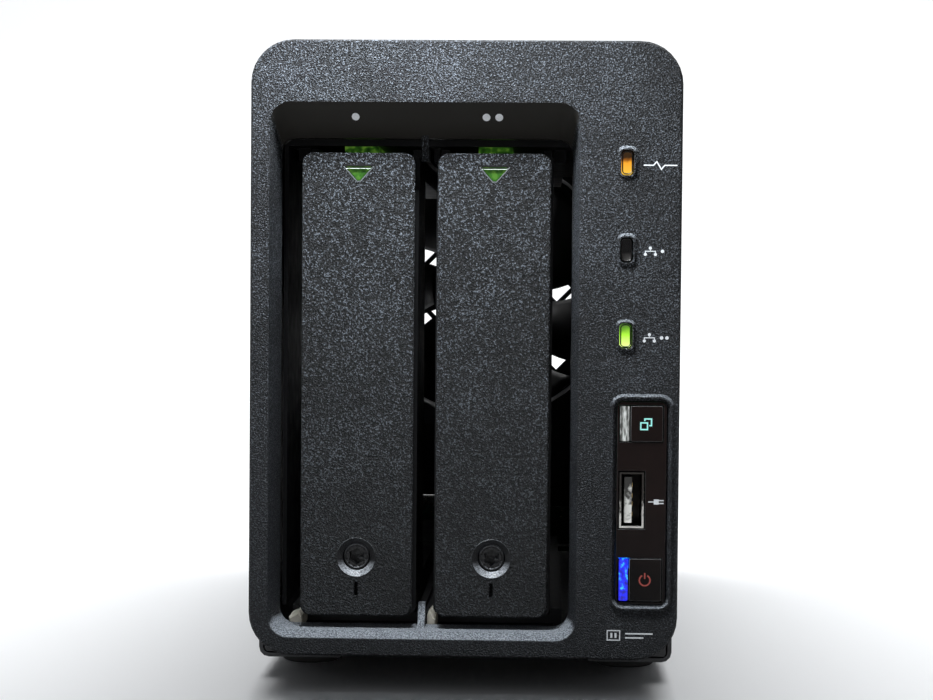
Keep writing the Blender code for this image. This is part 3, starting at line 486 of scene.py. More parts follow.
def circuit_board():
    """Green solder mask over copper tracks, with rows of plated holes."""
    shader = Shader("circuit_board", (0.02, 0.10, 0.05), 0.35, Coat_Weight=0.3)
    tracks_per_metre, hole_pitch = 260.0, 2.54
    tracks = shader.add(
        "TexVoronoi", {"Vector": shader.place, "Scale": tracks_per_metre},
        feature="DISTANCE_TO_EDGE", distance="MANHATTAN",
    )
    share = shader.squeeze(tracks.outputs["Distance"], 0.05, 0.09, 1.0, 0.0)
    holes = shader.squeeze(shader.cells(hole_pitch), 0.10, 0.14, 1.0, 0.0)
    # The solder mask's greens are darker than the board's own: painted shade for a board deep inside
    # the enclosure.
    mask = shader.mix(shader.noise(20.0), (0.004, 0.026, 0.014), (0.006, 0.042, 0.022))
    base = shader.mix(shader.math("MULTIPLY", share, 0.55), mask, (0.016, 0.10, 0.05))
    shader.paint(shader.mix(holes, base, (0.55, 0.50, 0.32)))
    shader.bump(share, 0.03)


def lit_lens(name, stops, low, high, strength, axis="Z", blotch_mm=2.0, blotch=0.25):
    """Lit clear plastic whose glow runs through stops from low to high millimetres."""
    shader = Shader(name, scaled(stops[0][1], 0.05), 0.12, Coat_Weight=0.3, Coat_Roughness=0.05)
    along = shader.along(axis, low, high)
    wobble = shader.squeeze(shader.noise(blotch_mm, 2.0), 0.3, 0.7, -blotch, blotch)
    glow = shader.ramp(shader.math("ADD", along, wobble), stops)
    shader.feed("Emission Color", glow)
    shader.set("Emission Strength", strength)
    shader.bump(shader.noise(1.0, 2.0), 0.02)


def lens_materials():
    z = {name: span(f"{name}_led_lens") for name in ("status", "lan1", "lan2")}
    lit_lens(
        "lens_amber",
        [
            (0.0, (1.0, 0.60, 0.07)), (0.50, (1.0, 0.42, 0.03)),
            (0.62, (0.35, 0.11, 0.01)), (0.72, (0.03, 0.012, 0.006)),
        ],
        z["status"][0].z, z["status"][1].z, 1.0, blotch=0.05,
    )
    lit_lens(
        "lens_green",
        [
            (0.0, (0.80, 1.0, 0.30)), (0.5, (0.42, 0.90, 0.05)),
            (0.78, (0.14, 0.36, 0.02)), (1.0, (0.05, 0.12, 0.02)),
        ],
        z["lan2"][0].z, z["lan2"][1].z, 1.2, blotch=0.06,
    )
    low, high = span("power_light_bar")
    lit_lens(
        "lens_blue",
        [
            (0.0, (0.0, 0.0, 0.18)), (0.40, (0.0, 0.001, 0.80)),
            (0.66, (0.0, 0.02, 1.0)), (0.92, (0.03, 0.55, 1.0)),
        ],
        low.z - 10.0, high.z + 10.0, 1.1, blotch_mm=1.5, blotch=0.50,
    )
    shader = Shader("lens_dark", (0.03, 0.03, 0.03), 0.12, Coat_Weight=0.6)
    low, high = z["lan1"]
    # Painted highlight: a grey band along the foot of the unlit lens.
    foot = shader.along("Z", low.z, low.z + 2.2, *FALLING)
    shader.paint(shader.mix(foot, (0.015, 0.014, 0.014), (0.16, 0.15, 0.14)))
    shader.bump(shader.noise(1.0, 2.0), 0.02)


def tray_lens():
    shader = Shader("tray_lens", (0.02, 0.07, 0.01), 0.2, Coat_Weight=0.3)
    glow = shader.ramp(
        shader.noise(1.6, 2.0),
        [(0.34, (0.006, 0.022, 0.003)), (0.52, (0.04, 0.15, 0.012)), (0.68, (0.20, 0.42, 0.05))],
    )
    shader.feed("Emission Color", glow)
    shader.set("Emission Strength", 0.30)
    shader.bump(shader.noise(0.8, 2.0), 0.03)


def clear_bar():
    """Unlit clear plastic that shows pale streaks of reflected light."""
    shader = Shader("lens_clear", (0.5, 0.51, 0.5), 0.14, Coat_Weight=0.7)
    wide = shader.add("Mapping", {"Vector": shader.place, "Scale": (1.6, 1.0, 0.35)})
    streak = shader.squeeze(shader.noise(0.9, 3.0, place=wide.outputs["Vector"]), 0.38, 0.66)
    shader.paint(shader.mix(streak, (0.07, 0.07, 0.062), (0.80, 0.81, 0.77)))
    shader.bump(streak, 0.05)


def print_ink(name, colour, glow=0.0):
    shader = Shader(name, colour, 0.55)
    wear = shader.squeeze(shader.noise(0.25, 3.0), 0.30, 0.62, 0.0, 0.35)
    shader.paint(shader.mix(wear, colour, scaled(colour, 0.45)))
    if glow:
        shader.set("Emission Color", (*colour, 1.0))
        shader.set("Emission Strength", glow)


def make_materials():
    spark_plastic("bezel_plastic", (0.0135, 0.0145, 0.0165), bezel=True)
    spark_plastic("door_plastic", (0.0140, 0.0144, 0.0150), depth=1.5, painted_glint=2.6)
    # tray_plastic and cage_steel are darker than real black plastic and paint: painted shade for the
    # parts inside the bays.
    moulded_plastic("tray_plastic", (0.0045, 0.0045, 0.005), level=0.3)
    moulded_plastic("cage_steel", (0.004, 0.004, 0.0045), 0.5, level=0.3)
    # lock_plastic has a highlight painted on its upward slopes.
    highlit_slope_plastic("lock_plastic", (0.012, 0.012, 0.013), (0.30, 0.31, 0.33))
    gloss_black()
    powder_coat()
    bare_metal("screw_steel", (0.10, 0.10, 0.11), 0.34)
    bare_metal("pin_steel", (0.60, 0.60, 0.61), 0.24)
    bare_metal("socket_steel", (0.62, 0.61, 0.59), 0.28, (1, 0.15, 1), 3.0)
    bare_metal("aluminium", (0.68, 0.69, 0.70), 0.35, (1, 0.1, 1))
    rubber()
    nylon()
    guide_nylon()
    circuit_board()
    moulded_plastic("socket_plastic", (0.018, 0.018, 0.018), 0.45)
    shaded_tongue()
    moulded_plastic("usb_blue", (0.02, 0.14, 0.60), 0.42)
    moulded_plastic("fan_plastic", (0.014, 0.014, 0.015), 0.40)
    clear_bar()
    tray_lens()
    # rim_plastic: a pale colour for the painted highlight along each lens's lower edge.
    moulded_plastic("rim_plastic", (0.11, 0.12, 0.122), 0.30, 0.10)
    # lock_edge and lamp_edge: dark plastic with a highlight painted on their upward slopes.
    highlit_slope_plastic("lock_edge", (0.010, 0.010, 0.011), (0.30, 0.315, 0.335))
    highlit_slope_plastic("lamp_edge", (0.016, 0.014, 0.013), (0.50, 0.49, 0.47))
    # lens_edge: a pale colour for the painted highlight on the lens ridges' sloping tops.
    moulded_plastic("lens_edge", (0.42, 0.50, 0.40), 0.25)
    print_ink("ink_white", (0.80, 0.82, 0.84))
    print_ink("ink_cyan", (0.26, 0.62, 0.58), 0.55)
    print_ink("ink_red", (0.26, 0.045, 0.035), 0.35)
    bare_metal("gold", (0.85, 0.62, 0.25), 0.25)
    worn_and_shaded_shell()
    lamp_off()
    moulded_plastic("fan_label", (0.10, 0.10, 0.105), 0.35, 0.004)
    lens_materials()


# ---- CAD nodes: finish and soft edges ----------------------------------------------------
EDGE_RADIUS = {
    "front_bezel": 0.35, "tray_1_door": 0.30, "tray_2_door": 0.30, "outer_cover": 0.20,
    "control_panel": 0.20, "copy_button": 0.20, "power_button": 0.20, "base_pan": 0.15,
}
PLAIN_EDGE = 0.10
SHARP_ANGLE, FLAT_ANGLE = math.radians(28), math.radians(0.3)
WELD_GAP = 0.002
OWN_FINISH = {  # nodes that look different from their slot
    "front_usb_shell": "usb_steel", "drive_cage": "cage_steel", "lower_guide": "guide_nylon",
}
SHARP = {"rear_panel"}  # its grille is too fine for rounded edges


def soften(piece, width, segments):
    """Rounds a piece's sharp edges by a width in millimetres."""
    edge = piece.modifiers.new("edge", "BEVEL")
    edge.limit_method = "ANGLE"
    edge.angle_limit = SHARP_ANGLE
    edge.width = width * MM
    edge.segments = segments
    edge.harden_normals = True


def dress_cad_nodes():
    """Gives each CAD node its material, and rounded edges by modifiers alone."""
    slots = {part["node"]: part["material_slot"] for part in frame["record"]["subparts"]}
    for name, node in frame["nodes"].items():
        node.data.materials.clear()
        node.data.materials.append(MATERIALS[OWN_FINISH.get(name, slots[name])])
        if name in SHARP:
            continue
        normals = node.data.attributes.get("custom_normal")
        if normals:
            node.data.attributes.remove(normals)
        node.data.shade_smooth()
        weld = node.modifiers.new("weld", "WELD")
        weld.merge_threshold = WELD_GAP * MM
        flat = node.modifiers.new("flat", "DECIMATE")
        flat.decimate_type = "DISSOLVE"
        flat.angle_limit = FLAT_ANGLE
        soften(node, EDGE_RADIUS.get(name, PLAIN_EDGE), 3 if name in EDGE_RADIUS else 2)


# ---- new pieces --------------------------------------------------------------------------
def mesh_from(name, solids):
    """A mesh from a list of (points, faces) in millimetres."""
    graph = bmesh.new()
    for points, faces in solids:
        made = [graph.verts.new(Vector(point) * MM) for point in points]
        for face in faces:
            graph.faces.new([made[i] for i in face])
    bmesh.ops.recalc_face_normals(graph, faces=graph.faces)
    mesh = bpy.data.meshes.new(name)
    graph.to_mesh(mesh)
    graph.free()
    return mesh


def add_piece(name, solids, look, slot, body="enclosure", soft=0.0, cuts=(), replaces=()):
    """One piece riding on a body: solids less cuts, with its edges rounded by soft mm.

    look names its material here. slot, the CAD record's nearest material, is not used.
    """
    piece = new_object(name, mesh_from(name, solids))
    if cuts:
        carve(piece, cuts)
    piece.data.materials.clear()
    piece.data.materials.append(MATERIALS[look])
    if soft:
        piece.data.shade_smooth()
        soften(piece, soft, 2)
    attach(piece, body)
    if replaces:
        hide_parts(*replaces)
    return piece


def carve(piece, cuts):
    """Cuts solids out of a piece, and keeps the result as its own mesh."""
    for solid in cuts:
        cutter = new_object("cutter", mesh_from("cutter", [solid]))
        modifier = piece.modifiers.new("cut", "BOOLEAN")
        modifier.operation = "DIFFERENCE"
        modifier.solver = "EXACT"
        modifier.object = cutter
    evaluated = piece.evaluated_get(bpy.context.evaluated_depsgraph_get())
    piece.data = bpy.data.meshes.new_from_object(evaluated)
    for modifier in list(piece.modifiers):
        bpy.data.objects.remove(modifier.object)
    piece.modifiers.clear()


def at(axis, u, v, w):
    """A point at w along an axis and at u and v along the other two."""
    return {"X": (w, u, v), "Y": (u, w, v), "Z": (u, v, w)}[axis]


def skin(count, rounds):
    """The faces of a closed solid through rounds of count points each."""
    faces = []
    for k in range(rounds - 1):
        low, high = k * count, (k + 1) * count
        for i in range(count):
            j = (i + 1) % count
            faces.append((low + i, low + j, high + j, high + i))
    return faces + [tuple(range(count)), tuple(range((rounds - 1) * count, rounds * count))]


def loft(axis, *sections):
    """A closed solid through (height, outline) sections with equal numbers of points."""
    points = [at(axis, u, v, height) for height, outline in sections for u, v in outline]
    return points, skin(len(sections[0][1]), len(sections))


def prism(axis, outline, low, high):
    return loft(axis, (low, outline), (high, outline))


def box(x0, x1, y0, y1, z0, z1):
    return prism("Z", [(x0, y0), (x1, y0), (x1, y1), (x0, y1)], z0, z1)


def turned(axis, u, v, profile, steps=48):
    """A solid of revolution from (height, radius) pairs."""
    return loft(axis, *[(h, circle(u, v, r, steps)) for h, r in profile])


def circle(u, v, radius, steps=32, start=0.0, end=360.0):
    whole = abs(end - start) >= 360
    count = steps if whole else steps + 1
    angles = [math.radians(start + (end - start) * i / steps) for i in range(count)]
    return [(u + radius * math.cos(a), v + radius * math.sin(a)) for a in angles]


def rectangle(u, v, wide, tall):
    """A rectangle's outline round its middle."""
    signs = ((-1, -1), (1, -1), (1, 1), (-1, 1))
    return [(u + a * wide / 2, v + b * tall / 2) for a, b in signs]


def rounded(x0, x1, z0, z1, radius, steps=5):
    """A rectangle's (x, z) outline with round corners."""
    corners = ((x1 - radius, z1 - radius, 0), (x0 + radius, z1 - radius, 90),
               (x0 + radius, z0 + radius, 180), (x1 - radius, z0 + radius, 270))
    return [p for x, z, start in corners for p in circle(x, z, radius, steps, start, start + 90)]


def moved(path, by_u, by_v=0.0):
    """An outline, path or profile somewhere else."""
    return [(u + by_u, v + by_v) for u, v in path]


def hoop(axis, *sections):
    """A closed ring through (height, outline) sections, the last joined back to the first."""
    points = [at(axis, u, v, height) for height, outline in sections for u, v in outline]
    count, rounds = len(sections[0][1]), len(sections)
    faces = []
    for k in range(rounds):
        low, high = k * count, (k + 1) % rounds * count
        for i in range(count):
            j = (i + 1) % count
            faces.append((low + i, low + j, high + j, high + i))
    return points, faces


def slab(outline, front, back):
    """A flat solid with an (x, z) outline, from y = front to y = back."""
    return prism("Y", outline, front, back)


def stroke(path, width, front, back, closed=False):
    """A drawn line as a flat solid: an (x, z) path with mitred corners."""
    n = len(path)
    left, right = [], []
    for i, here in enumerate(path):
        before = Vector(path[i - 1]) if i or closed else None
        after = Vector(path[(i + 1) % n]) if i < n - 1 or closed else None
        here = Vector(here)
        a = (here - before).normalized() if before is not None else (after - here).normalized()
        b = (after - here).normalized() if after is not None else a
        side = Vector((-(a.y + b.y), a.x + b.x)).normalized()
        reach = width / 2 / max(0.4, side.dot(Vector((-a.y, a.x))))
        left.append(here + side * reach)
        right.append(here - side * reach)
    points = []
    for y in (front, back):
        points += [(p.x, y, p.y) for p in left] + [(p.x, y, p.y) for p in right]
    faces = []
    for i in range(n if closed else n - 1):
        j = (i + 1) % n
        faces.append((i, j, n + j, n + i))
        faces.append((2 * n + i, 2 * n + j, 3 * n + j, 3 * n + i))
        faces.append((i, j, 2 * n + j, 2 * n + i))
        faces.append((n + i, n + j, 3 * n + j, 3 * n + i))
    if not closed:
        for i in (0, n - 1):
            faces.append((i, n + i, 3 * n + i, 2 * n + i))
    return points, faces


INK = 0.02


def printed(name, solids_at, y, look, slot, body="enclosure"):
    """A printed mark: solids_at(front, back) gives its solids on the face at y."""
    return add_piece(name, solids_at(y - INK, y + INK), look, slot, body)


def status_mark(front, back):
    """A pulse line: flat, up, down, and flat again."""
    path = [(0, 0), (2.3, 0), (3.1, 0.85), (4.2, -0.95), (5.0, 0), (8.0, 0)]
    return [stroke(moved(path, 42.5, 127.4), 0.30, front, back)]


def network_mark(z, dots):
    """A hub over two branches, then one dot for each socket number."""

    def solids(front, back):
        x = 42.9
        paths = ([(0.2, -0.45), (0.2, 0), (2.6, 0), (2.6, -0.45)], [(1.4, 0), (1.4, 0.5)])
        made = [stroke(moved(path, x, z), 0.22, front, back) for path in paths]
        discs = [(0.2, -0.75, 0.38), (2.6, -0.75, 0.38), (1.4, 0.75, 0.38)]
        discs += [(4.3 + 1.3 * i, 0, 0.42) for i in range(dots)]
        made += [slab(circle(x + u, z + v, radius, 20), front, back) for u, v, radius in discs]
        return made

    return solids


def plug_mark(front, back):
    """A small plug: a body, two prongs and a lead."""
    x, z = 44.5, 46.8
    made = [slab(rectangle(x + 1.9, z, 1.2, 1.24), front, back)]
    paths = [[(2.5, v), (3.7, v)] for v in (-0.34, 0.34)] + [[(0, 0), (1.3, 0)]]
    return made + [stroke(moved(path, x, z), 0.26, front, back) for path in paths]


def bay_mark(front, back):
    """A small drawing of the enclosure: an outline round two upright bays, and two rules."""
    x, z = 35.0, 13.35
    made = [stroke(rectangle(x + 1.5, z + 1.15, 3.0, 2.3), 0.26, front, back, closed=True)]
    lines = [([(u, 0.55), (u, 1.75)], 0.5) for u in (1.0, 2.0)]
    lines += [([(4.3, v), (4.3 + length, v)], 0.34) for v, length in ((1.6, 6.6), (0.6, 4.4))]
    return made + [stroke(moved(path, x, z), width, front, back) for path, width in lines]


def copy_mark(front, back):
    """One small square sheet in front of another: the back one shows as a corner."""
    x, z, side, shift, gap = 43.3, 65.0, 0.80, 0.95, 0.42
    near, far, end = shift - side, shift + side, side + gap
    corner = [(near, end), (near, far), (far, far), (far, near), (end, near)]
    sheet = stroke(rectangle(x, z, 2 * side, 2 * side), 0.34, front, back, closed=True)
    return [sheet, stroke(moved(corner, x, z), 0.34, front, back)]


def power_mark(front, back):
    """A ring with a bar in its gap."""
    x, z = 43.85, 27.9
    paths = (circle(x, z, 1.28, 28, 118, 422), [(x, z + 0.35), (x, z + 1.75)])
    return [stroke(path, 0.34, front, back) for path in paths]


def roof_height(x, y):
    """How high the recess's roof is over a place in the mouth of the bays."""
    bezel = frame["nodes"]["front_bezel"]
    home = bezel.matrix_world.inverted()
    start = home @ (Vector((x, y, 125.0)) * MM)
    up = home.to_3x3() @ Vector((0, 0, 1))
    _, place, _, _ = bezel.ray_cast(start, up)
    return (bezel.matrix_world @ place).z / MM


def bay_dots():
    """Dots on the recess's sloping roof: one over the first bay and two over the second."""
    roof_front, roof_back = (Vector((y, roof_height(0.0, y))) for y in (FRONT + 3.2, FRONT + 8.5))
    slope = (roof_back - roof_front).normalized()
    down = Vector((slope.y, -slope.x))
    solids = []
    for x in (BAYS[1] - 0.65, BAYS[2] - 2.05, BAYS[2] + 1.0):
        middle = roof_front + slope * 1.15
        points, n = [], 28
        for lift in (-INK, INK):
            for u, v in circle(0, 0, 1.0, n):
                p = middle + slope * (v * 1.28) + down * lift
                points.append((x + u * 0.93, p.x, p.y))
        faces = [tuple(range(n)), tuple(range(n, 2 * n))]
        faces += [(i, (i + 1) % n, n + (i + 1) % n, n + i) for i in range(n)]
        solids.append((points, faces))
    add_piece("bay_dots", solids, "ink_white", "nylon")


def printed_marks():
    white, face = "ink_white", FACE
    printed("status_mark", status_mark, face, white, "nylon")
    printed("lan1_mark", network_mark(106.9, 1), face, white, "nylon")
    printed("lan2_mark", network_mark(86.2, 2), face, white, "nylon")
    printed("enclosure_mark", bay_mark, face, white, "nylon")
    printed("plug_mark", plug_mark, span("control_panel")[0].y, white, "nylon")
    key = span("copy_button")[0].y
    printed("copy_mark", copy_mark, key, "ink_cyan", "lens_green", "copy_button")
    printed("power_mark", power_mark, key, "ink_red", "lens_amber", "power_button")
    bay_dots()


# ---- detail pieces -----------------------------------------------------------------------
def star_outline(u, v, inner, outer, lobes, start):
    points = []
    for i in range(lobes * 8):
        angle = math.radians(start) + 2 * math.pi * i / (lobes * 8)
        share = (1 + math.cos(lobes * (angle - math.radians(start)))) / 2
        radius = inner + (outer - inner) * share ** 1.6
        points.append((u + radius * math.cos(angle), v + radius * math.sin(angle)))
    return points


BARREL = [(0.30, 2.5), (0.02, 2.75), (0, 2.9), (0.12, 3.08), (0.35, 3.18)]  # (y, radius)
DIMPLE = [(-0.4, 0.31), (0.35, 0.26), (0.62, 0.10)]
DIMPLES, DIMPLE_RING = 12, 2.5
WARD = [(2.2, -1.0), (1.25, -1.1), (0.65, -0.8), (0.6, -0.4), (1.0, -0.15), (1.4, -0.45), (2.2, -0.4)]
LOCK_MOUTH = [(0.10, 4.85), (-0.03, 4.72), (0.10, 4.60), (1.20, 3.40), (1.45, 3.34), (1.45, 3.80)]


def lock_barrels():
    """Each lock: a ring with twelve dimples round a star keyway, its ward, and the cam behind."""
    for bay, x in BAYS.items():
        node = f"tray_{bay}_lock"
        low, high = span(node)
        z = low.z + LOCK_RADIUS
        front, back = low.y, high.y
        barrel = turned("Y", x, z, moved(BARREL, front) + [(back, 3.18)], 72)
        cam = prism("Y", [(x - 1.6, z), (x + 1.6, z), (x + 1.6, high.z - 0.8), (x + 0.8, high.z),
                          (x - 0.8, high.z), (x - 1.6, high.z - 0.8)], back - 1.2, back - 0.1)
        cuts = [prism("Y", star_outline(x, z, 1.72, 2.08, 6, -90), front - 1, back - 0.5)]
        for i in range(DIMPLES):
            angle = 2 * math.pi * (i + 0.5) / DIMPLES
            u, v = x + DIMPLE_RING * math.cos(angle), z + DIMPLE_RING * math.sin(angle)
            cuts.append(turned("Y", u, v, moved(DIMPLE, front), 14))
        ward = slab(moved(WARD, x, z), front + 0.9, back - 0.6)
        plastic = ("lock_plastic", "lock_plastic", node)
        add_piece(
            f"lock_{bay}_barrel", [barrel], *plastic, soft=0.05, cuts=cuts, replaces=(node,),
        )
        add_piece(f"lock_{bay}_cam", [cam], *plastic, soft=0.15)
        add_piece(f"lock_{bay}_ward", [ward], *plastic, soft=0.08)


def door_rims():
    """On each door, a pale edge painted as a highlight under a dark line painted as shadow round the
    lens, and the lock's mouth with a highlight painted on its lower slopes.
    """
    for bay, x in BAYS.items():
        node = f"tray_{bay}_door"
        face = span(node)[0].y
        low, high = span(f"tray_{bay}_lens")
        top, foot = high.z - 0.05, low.z - 0.25
        edge = moved([(-3.65, top), (-0.45, foot), (0.45, foot), (3.65, top)], x)
        brow = moved([(-3.60, 0.25), (3.60, 0.25)], x, high.z)
        # The lens's pale lower edge is a painted highlight; the dark brow over it is a painted shadow.
        add_piece(
            f"lens_{bay}_edge", [stroke(edge, 0.24, face - 0.08, face + 0.1)], "rim_plastic",
            "door_plastic", node, soft=0.04,
        )
        add_piece(
            f"lens_{bay}_brow", [stroke(brow, 0.34, face - 0.03, face + 0.1)], "tray_plastic",
            "door_plastic", node,
        )
        z = span(f"tray_{bay}_lock")[0].z + LOCK_RADIUS
        # The mouth's upward slopes carry a painted highlight.
        mouth = [(face + shift, circle(x, z, radius, 64)) for shift, radius in LOCK_MOUTH]
        add_piece(f"lock_{bay}_mouth", [hoop("Y", *mouth)], "lock_edge", "door_plastic", node)


def lamp_rims():
    """A thin raised lip round each of the three lights, with a highlight painted on its upward slopes.
    """
    for name in ("status", "lan1", "lan2"):
        low, high = span(f"{name}_led_lens")
        lip = []
        for shift, grow in ((0.15, 0.05), (-0.12, -0.04), (-0.12, -0.16), (0.15, -0.36)):
            sides = (low.x - grow, high.x + grow, low.z - grow, high.z + grow)
            lip.append((low.y + shift, rounded(*sides, 0.9 + grow)))
        add_piece(f"{name}_led_lip", [hoop("Y", *lip)], "lamp_edge", "bezel_plastic")


def lens_ridges():
    """A ridge along the top of each door's triangular lens. Its pale colour is a painted highlight on
    the sloping top.
    """
    for bay in BAYS:
        low, high = span(f"tray_{bay}_lens")
        outline = moved([(-0.45, -0.62), (0.10, -0.08), (0.10, -0.62)], low.y, high.z)
        ridge = prism("X", outline, low.x + 0.05, high.x - 0.05)
        add_piece(
            f"lens_{bay}_ridge", [ridge], "lens_edge", "tray_lens", f"tray_{bay}_door",
            soft=0.05,
        )


def cross_screw(name):
    """A pan-head screw with a cross recess and a threaded shank, heading out of the rear."""
    low, high = span(name)
    x, z = (low.x + high.x) / 2, (low.z + high.z) / 2
    radius = (high.x - low.x) / 2
    top, seat = high.y, high.y - 1.1
    pitch, thread = 0.7, low.y + 0.8
    profile = [(low.y, 0.9), (low.y + 0.6, 1.2)]
    for i in range(int((seat - 0.3 - thread) / pitch)):
        profile += [(thread + pitch * i, 1.25), (thread + pitch * i + 0.35, 1.55)]
    profile += [(seat - 0.2, 1.3), (seat, 1.4), (seat, radius)]
    for slope in range(15, 90, 15):
        a = math.radians(slope)
        profile.append((top - 0.75 + 0.75 * math.sin(a), radius * math.cos(a)))
    profile.append((top, 0.25))
    cuts = []
    for wide, tall in ((0.36, 1.55), (1.55, 0.36)):
        deep, mouth = (rectangle(x, z, wide * k, tall * k) for k in (1, 2))
        cuts.append(loft("Y", (top - 1.0, deep), (top + 0.3, mouth)))
    add_piece(
        f"{name}_detail", [turned("Y", x, z, profile, 40)], "screw_steel", "screw_steel",
        soft=0.04, cuts=cuts, replaces=(name,),
    )


def rear_screws():
    for name in [f"fan_screw_{i}" for i in range(1, 5)] + ["cover_screw_left", "cover_screw_right"]:
        cross_screw(name)


def feet():
    """Round rubber feet with a raised ring and a sunk middle underneath."""
    for end in ("front", "rear"):
        for side in ("left", "right"):
            node = f"foot_{end}_{side}"
            low, high = span(node)
            x, y = (low.x + high.x) / 2, (low.y + high.y) / 2
            profile = [
                (1.2, 0.3), (1.2, 4.6), (0.9, 5.0), (0.25, 5.2), (0.0, 5.6), (0.0, 6.9),
                (0.12, 7.2), (0.45, 7.5), (2.4, 7.9), (2.9, 7.9), (3.05, 7.6), (3.3, 7.6),
                (3.45, 7.95), (high.z, 8.0),
            ]
            pad = turned("Z", x, y, profile, 64)
            add_piece(f"{node}_pad", [pad], "rubber", "rubber", soft=0.06, replaces=(node,))


def front_usb_contacts():
    """Four plated strips on the tongue, and the leaf springs of the shell."""
    low, high = span("front_usb_tongue")
    room_low, room_high = span("front_usb_shell")
    middle, wall_thickness = (low.z + high.z) / 2, 0.5
    strips = [
        box(high.x - 0.02, high.x + 0.16, low.y + 0.7, high.y - 1.0, middle + z - 0.5, middle + z + 0.5)
        for z in (-3.5, -1.0, 1.0, 3.5)
    ]
    add_piece("usb_contacts", strips, "gold", "socket_steel", soft=0.05)
    spring = [(0, 0.2), (0.5, 2.4), (0.32, 4.0), (0.18, 4.0), (0.36, 2.4), (-0.14, 0.2)]
    leaves = []
    for wall, sign in ((room_high.x - wall_thickness, -1), (room_low.x + wall_thickness, 1)):
        bend = [(wall + sign * u, low.y + v) for u, v in spring]
        leaves += [prism("Z", bend, middle + z - 0.9, middle + z + 0.9) for z in (-3.4, 2.0)]
    add_piece("usb_springs", leaves, "usb_steel", "socket_steel", soft=0.04)


JACK_WIRE = [(-2.2, 0), (-3.0, 0), (-9.5, -4.6), (-9.5, -5.0), (-9.1, -5.0), (-2.6, -0.5)]


def in_a_row(x, count, pitch):
    """Places along X in an even row about x."""
    return [x + (i - (count - 1) / 2) * pitch for i in range(count)]


def rear_contacts():
    """Contacts inside the rear sockets, and the two lamps of each network jack."""
    wires = []
    for name in ("lan_jack_1", "lan_jack_2"):
        low, high = span(name)
        x = (low.x + high.x) / 2
        bend = moved(JACK_WIRE, high.y, low.z + 10.4)
        wires += [prism("X", bend, u - 0.22, u + 0.22) for u in in_a_row(x, 8, 1.02)]
        for side, sign, glow in (("left", -1, "lens_amber"), ("right", 1, "lens_green")):
            u, v = x + sign * 6.1, low.z + 12.0
            foot, top = rectangle(u, v, 2.4, 1.6), rectangle(u, v, 2.0, 1.2)
            lamp = loft("Y", (high.y - 1.0, foot), (high.y + 0.10, foot), (high.y + 0.22, top))
            add_piece(f"{name}_lamp_{side}", [lamp], "lamp_off", glow, soft=0.08)
    for level in ("lower", "upper"):
        low, high = span(f"usb3_tongue_{level}")
        x = (low.x + high.x) / 2
        for u in in_a_row(x, 4, 2.4):
            wires.append(box(u - 0.45, u + 0.45, low.y + 1.5, high.y - 0.5, low.z - 0.12, low.z + 0.02))
        for u in in_a_row(x, 5, 2.0):
            wires.append(box(u - 0.3, u + 0.3, high.y - 2.6, high.y - 1.2, high.z - 0.02, high.z + 0.1))
    low, high = span("esata_port")
    x, blade = (low.x + high.x) / 2, low.z + 3.3
    for u in in_a_row(x, 7, 1.27):
        wires.append(box(u - 0.25, u + 0.25, high.y - 5.5, high.y - 1.2, blade - 0.12, blade + 0.02))
    add_piece("rear_contacts", wires, "gold", "socket_steel", soft=0.03)


def rear_shield():
    """Strips behind the rear panel that close the slits over the sockets."""
    panel = span("rear_panel")[0].y
    strips = []
    for name in ("power_inlet", "lan_jack_1", "lan_jack_2", "usb3_port_stack", "esata_port"):
        low, high = span(name)
        x0, x1, z0, z1 = low.x - 1.5, high.x + 1.5, high.z + 0.1, high.z + 2.0
        strips.append(box(x0, x1, panel - 0.9, panel - 0.2, z0, z1))
    add_piece("rear_shield", strips, "tray_plastic", "socket_plastic", soft=0.05)


FAN_BLADES = 7
BLADE_THICKNESS = 1.5
BLADE_ROOT, BLADE_SPAN = 17.9, 24.4
HUB_NOSE = [(2.4, 18.5), (1.2, 17.9), (0.4, 16.8), (0, 15.2), (0, 6.0), (0.5, 5.6), (0.5, 0.2)]


def fan_blade(x, z, middle, turn):
    """A swept blade: sections along its span, each a thin curved strip."""
    stations, chords = 9, 12
    sections = []
    for i in range(stations):
        share = i / (stations - 1)
        radius = BLADE_ROOT + BLADE_SPAN * share
        start = 16 * share ** 1.3
        reach = 40 + 2.5 * share
        rise = 14.6 - 2.2 * share
        upper, lower = [], []
        for k in range(chords + 1):
            along = k / chords
            angle = math.radians(turn + start + reach * along)
            y = middle + rise * (along - 0.5) - 1.6 * math.sin(math.pi * along)
            fullness = 0.42
            if along < 0.86:
                fullness = 0.30 + 0.70 * math.sin(math.pi * (along * 1.15)) ** 0.5
            half = BLADE_THICKNESS * fullness / 2
            u, v = x + radius * math.cos(angle), z + radius * math.sin(angle)
            upper.append((u, y + half, v))
            lower.append((u, y - half, v))
        sections.append(upper + lower[::-1])
    count = len(sections[0])
    points = [p for section in sections for p in section]
    return points, skin(count, stations)


